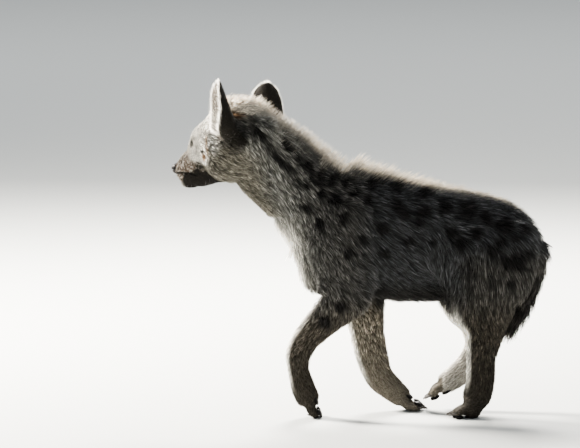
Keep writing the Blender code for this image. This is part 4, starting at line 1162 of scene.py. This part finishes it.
def earHair(ear, face, up):
    surface = surfaceOf(ear)
    kept = ear.data.attributes
    axis = valuesOf(kept["axis"].data, "vector", 3)
    toward = (unit(axis - surface["carried"]["root"]) * surface["carried"]["normal"]).sum(axis=1)
    edge, tall = (valuesOf(kept[name].data, "value", 1) for name in ("edge", "tall"))
    surface["carried"]["shape"] = np.column_stack([edge, tall, toward])
    roots = rootsOn(surface, lambda points: hairCounts["ear"])
    root, normal = roots["root"], roots["normal"]
    edge, tall, inside = roots.pop("shape").T
    count = len(root)
    inside = rise(-0.05, 0.05, inside)
    base = fall(-0.10, 0.10, tall)
    lie = blend(up + 0.4 * face * inside[:, None], headTurned(np.array([[-0.7, 0.0, -0.7]])), base[:, None])
    lie = lie - normal * (lie * normal).sum(axis=1, keepdims=True)
    lie = unit(lie + 0.18 * draw.normal(size=(count, 3)))
    rim = rise(0.90, 0.97, edge) * rise(0.04, 0.16, tall)
    long = 0.0042 + 0.0035 * inside * fall(0.2, 0.7, tall) + 0.002 * rim
    long += 0.009 * base
    long *= draw.uniform(0.7, 1.25, count)
    lift = np.radians(20 + 12 * rim) * draw.uniform(0.6, 1.4, count)
    tip = root + (lie * np.cos(lift)[:, None] + normal * np.sin(lift)[:, None]) * long[:, None]
    within = blend(earPlan["hairInside"], tones["pale"], rise(0.35, 0.70, edge)[:, None])
    tone = blend(earPlan["back"], within, (inside * (1 - base))[:, None])
    # the outer rim of the ear is pale: partly its own pale-edged hair, partly painted rim light
    tone = blend(tone, tones["pale"], rim[:, None])
    tone = tone * draw.normal(1, 0.12, count).clip(0.6, 1.4)[:, None]
    roots.update(side=np.cross(normal, lie), tip=tip, wide=np.full(count, 0.0010), tone=tone)
    setTone(ear.data, blend(earPlan["back"], earPlan["inside"], rise(-0.05, 0.05, toward)[:, None]))
    return roots


for sideName, left in (("left", 1), ("right", -1)):
    ear, face, up = makeEar(sideName, left)
    addDetail(ear, skinMaterial, "ear", ["ear_" + sideName])
    hair = earHair(ear, face, up)
    hair = tuftMesh("earHair" + sideName.capitalize(), hair, rings=1, fade=(0.6, 0.9, 1.2))
    addDetail(hair, furMaterial, "ear")
print("ears")

pads = roundObject("pads", padBalls, 3)
padPoints = valuesOf(pads.data.vertices, "co", 3)
padPoints[:, 2] = np.maximum(padPoints[:, 2], floorLevel + floorGaps["pads"])
movePoints(pads.data, padPoints)
addDetail(pads, leather, "claw")

clawPlan = {"long": 0.014, "droop": 0.003, "radius": 0.0026, "start": 0.003, "steps": 8, "sides": 12}
for pawName, (_, _, _, ahead) in paws.items():
    place = pawPlace(pawName)
    turnBack = place.to_3x3().inverted()
    ahead = turnBack @ Vector((ahead[0], 0, ahead[1])).normalized()
    down = turnBack @ Vector((0, 0, -1))
    bm = bmesh.new()
    for number in range(toePlan["count"]):
        start = Vector(toeLine(number)[-1]) + ahead * clawPlan["start"]
        line, radii = [], []
        for t in np.linspace(0, 1, clawPlan["steps"]):
            line.append(start + ahead * clawPlan["long"] * t + down * clawPlan["droop"] * t * t)
            radii.append((clawPlan["radius"] * (1 - 0.85 * t), clawPlan["radius"] * (1.2 - 0.98 * t)))
        addTube(bm, [tuple(p) for p in line], radii, clawPlan["sides"])
    bm.transform(place)
    nodes = [f"claw_{pawName}_{number + 1}" for number in range(toePlan["count"])]
    addDetail(meshObject("claws_" + pawName, bm), horn, "claw", nodes)
print("details", len(details))

# Every piece moves to the frame's own origin and rides on the body
for piece in pieces:
    piece.data.materials.append(furMaterial)
skin.data.materials.append(skinMaterial)
flesh = ["torso", "neck", "head", "tail"]
for side in ("left", "right"):
    flesh += [f"{limb}_{side}_{part}" for limb in ("foreleg", "hindleg") for part in ("upper", "lower")]
    flesh += [f"forepaw_{side}", f"hindpaw_{side}"]
rows = [(skin, "coat", flesh)] + [(piece, "coat", []) for piece in pieces] + details
for piece, slotName, nodes in rows:
    piece.data.transform(Matrix.Translation(shift))
    if "OFBake" not in piece.data.uv_layers:
        addUv(piece)
    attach(piece, "root")
    if nodes:
        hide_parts(*nodes)
print("pieces ride", len(rows))

# Floor, lights and camera
stagePlan = {"half": 40, "floor": (0.52, 0.53, 0.515), "sky": (0.86, 0.90, 0.94, 1), "skyStrength": 0.60}
floorMesh = bpy.data.meshes.new("floor")
half = stagePlan["half"]
corners = [(-half, -half, 0), (half, -half, 0), (half, half, 0), (-half, half, 0)]
floorMesh.from_pydata(corners, [], [(0, 1, 2, 3)])
floor = newObject("floor", floorMesh)
floorMesh.materials.append(plainMaterial("floor", stagePlan["floor"], 0.9))

world = bpy.data.worlds.new("world")
world.use_nodes = True
world.node_tree.nodes["Background"].inputs["Color"].default_value = stagePlan["sky"]
world.node_tree.nodes["Background"].inputs["Strength"].default_value = stagePlan["skyStrength"]
bpy.context.scene.world = world


def areaLight(name, place, aim, size, power, colour=(1, 1, 1)):
    lamp = bpy.data.lights.new(name, "AREA")
    lamp.size = size
    lamp.energy = power
    lamp.color = colour
    obj = newObject(name, lamp)
    obj.location = place
    obj.rotation_euler = (Vector(aim) - Vector(place)).to_track_quat("-Z", "Y").to_euler()


areaLight("key", (-2.6, 1.25, 2.2), (0, 0, 0.35), 0.8, 780, (1.0, 0.95, 0.87))
areaLight("rim", (0.2, 2.6, 2.4), (0, 0, 0.35), 1.0, 400, (1.0, 0.96, 0.90))
areaLight("fill", (-0.6, -3.4, 2.2), (0, 0, 0.3), 2.6, 30)
areaLight("backdrop", (0, 8.5, 5), (0, 9.5, 0), 8, 260)

cameraPlan = {"aim": (-0.2037, 0, 0.3445), "height": 6, "away": 9.0, "lens": 301.7, "clip": 60}
lensData = bpy.data.cameras.new("camera")
lensData.lens = cameraPlan["lens"]
lensData.clip_end = cameraPlan["clip"]
camera = newObject("camera", lensData)
aim = Vector(cameraPlan["aim"]) + shift
height = math.radians(cameraPlan["height"])
camera.location = aim + Vector((0, -math.cos(height), math.sin(height))) * cameraPlan["away"]
camera.rotation_euler = (aim - camera.location).to_track_quat("-Z", "Y").to_euler()
bpy.context.scene.camera = camera
bpy.context.scene.view_settings.view_transform = "AgX"
bpy.context.scene.view_settings.look = "AgX - Medium High Contrast"
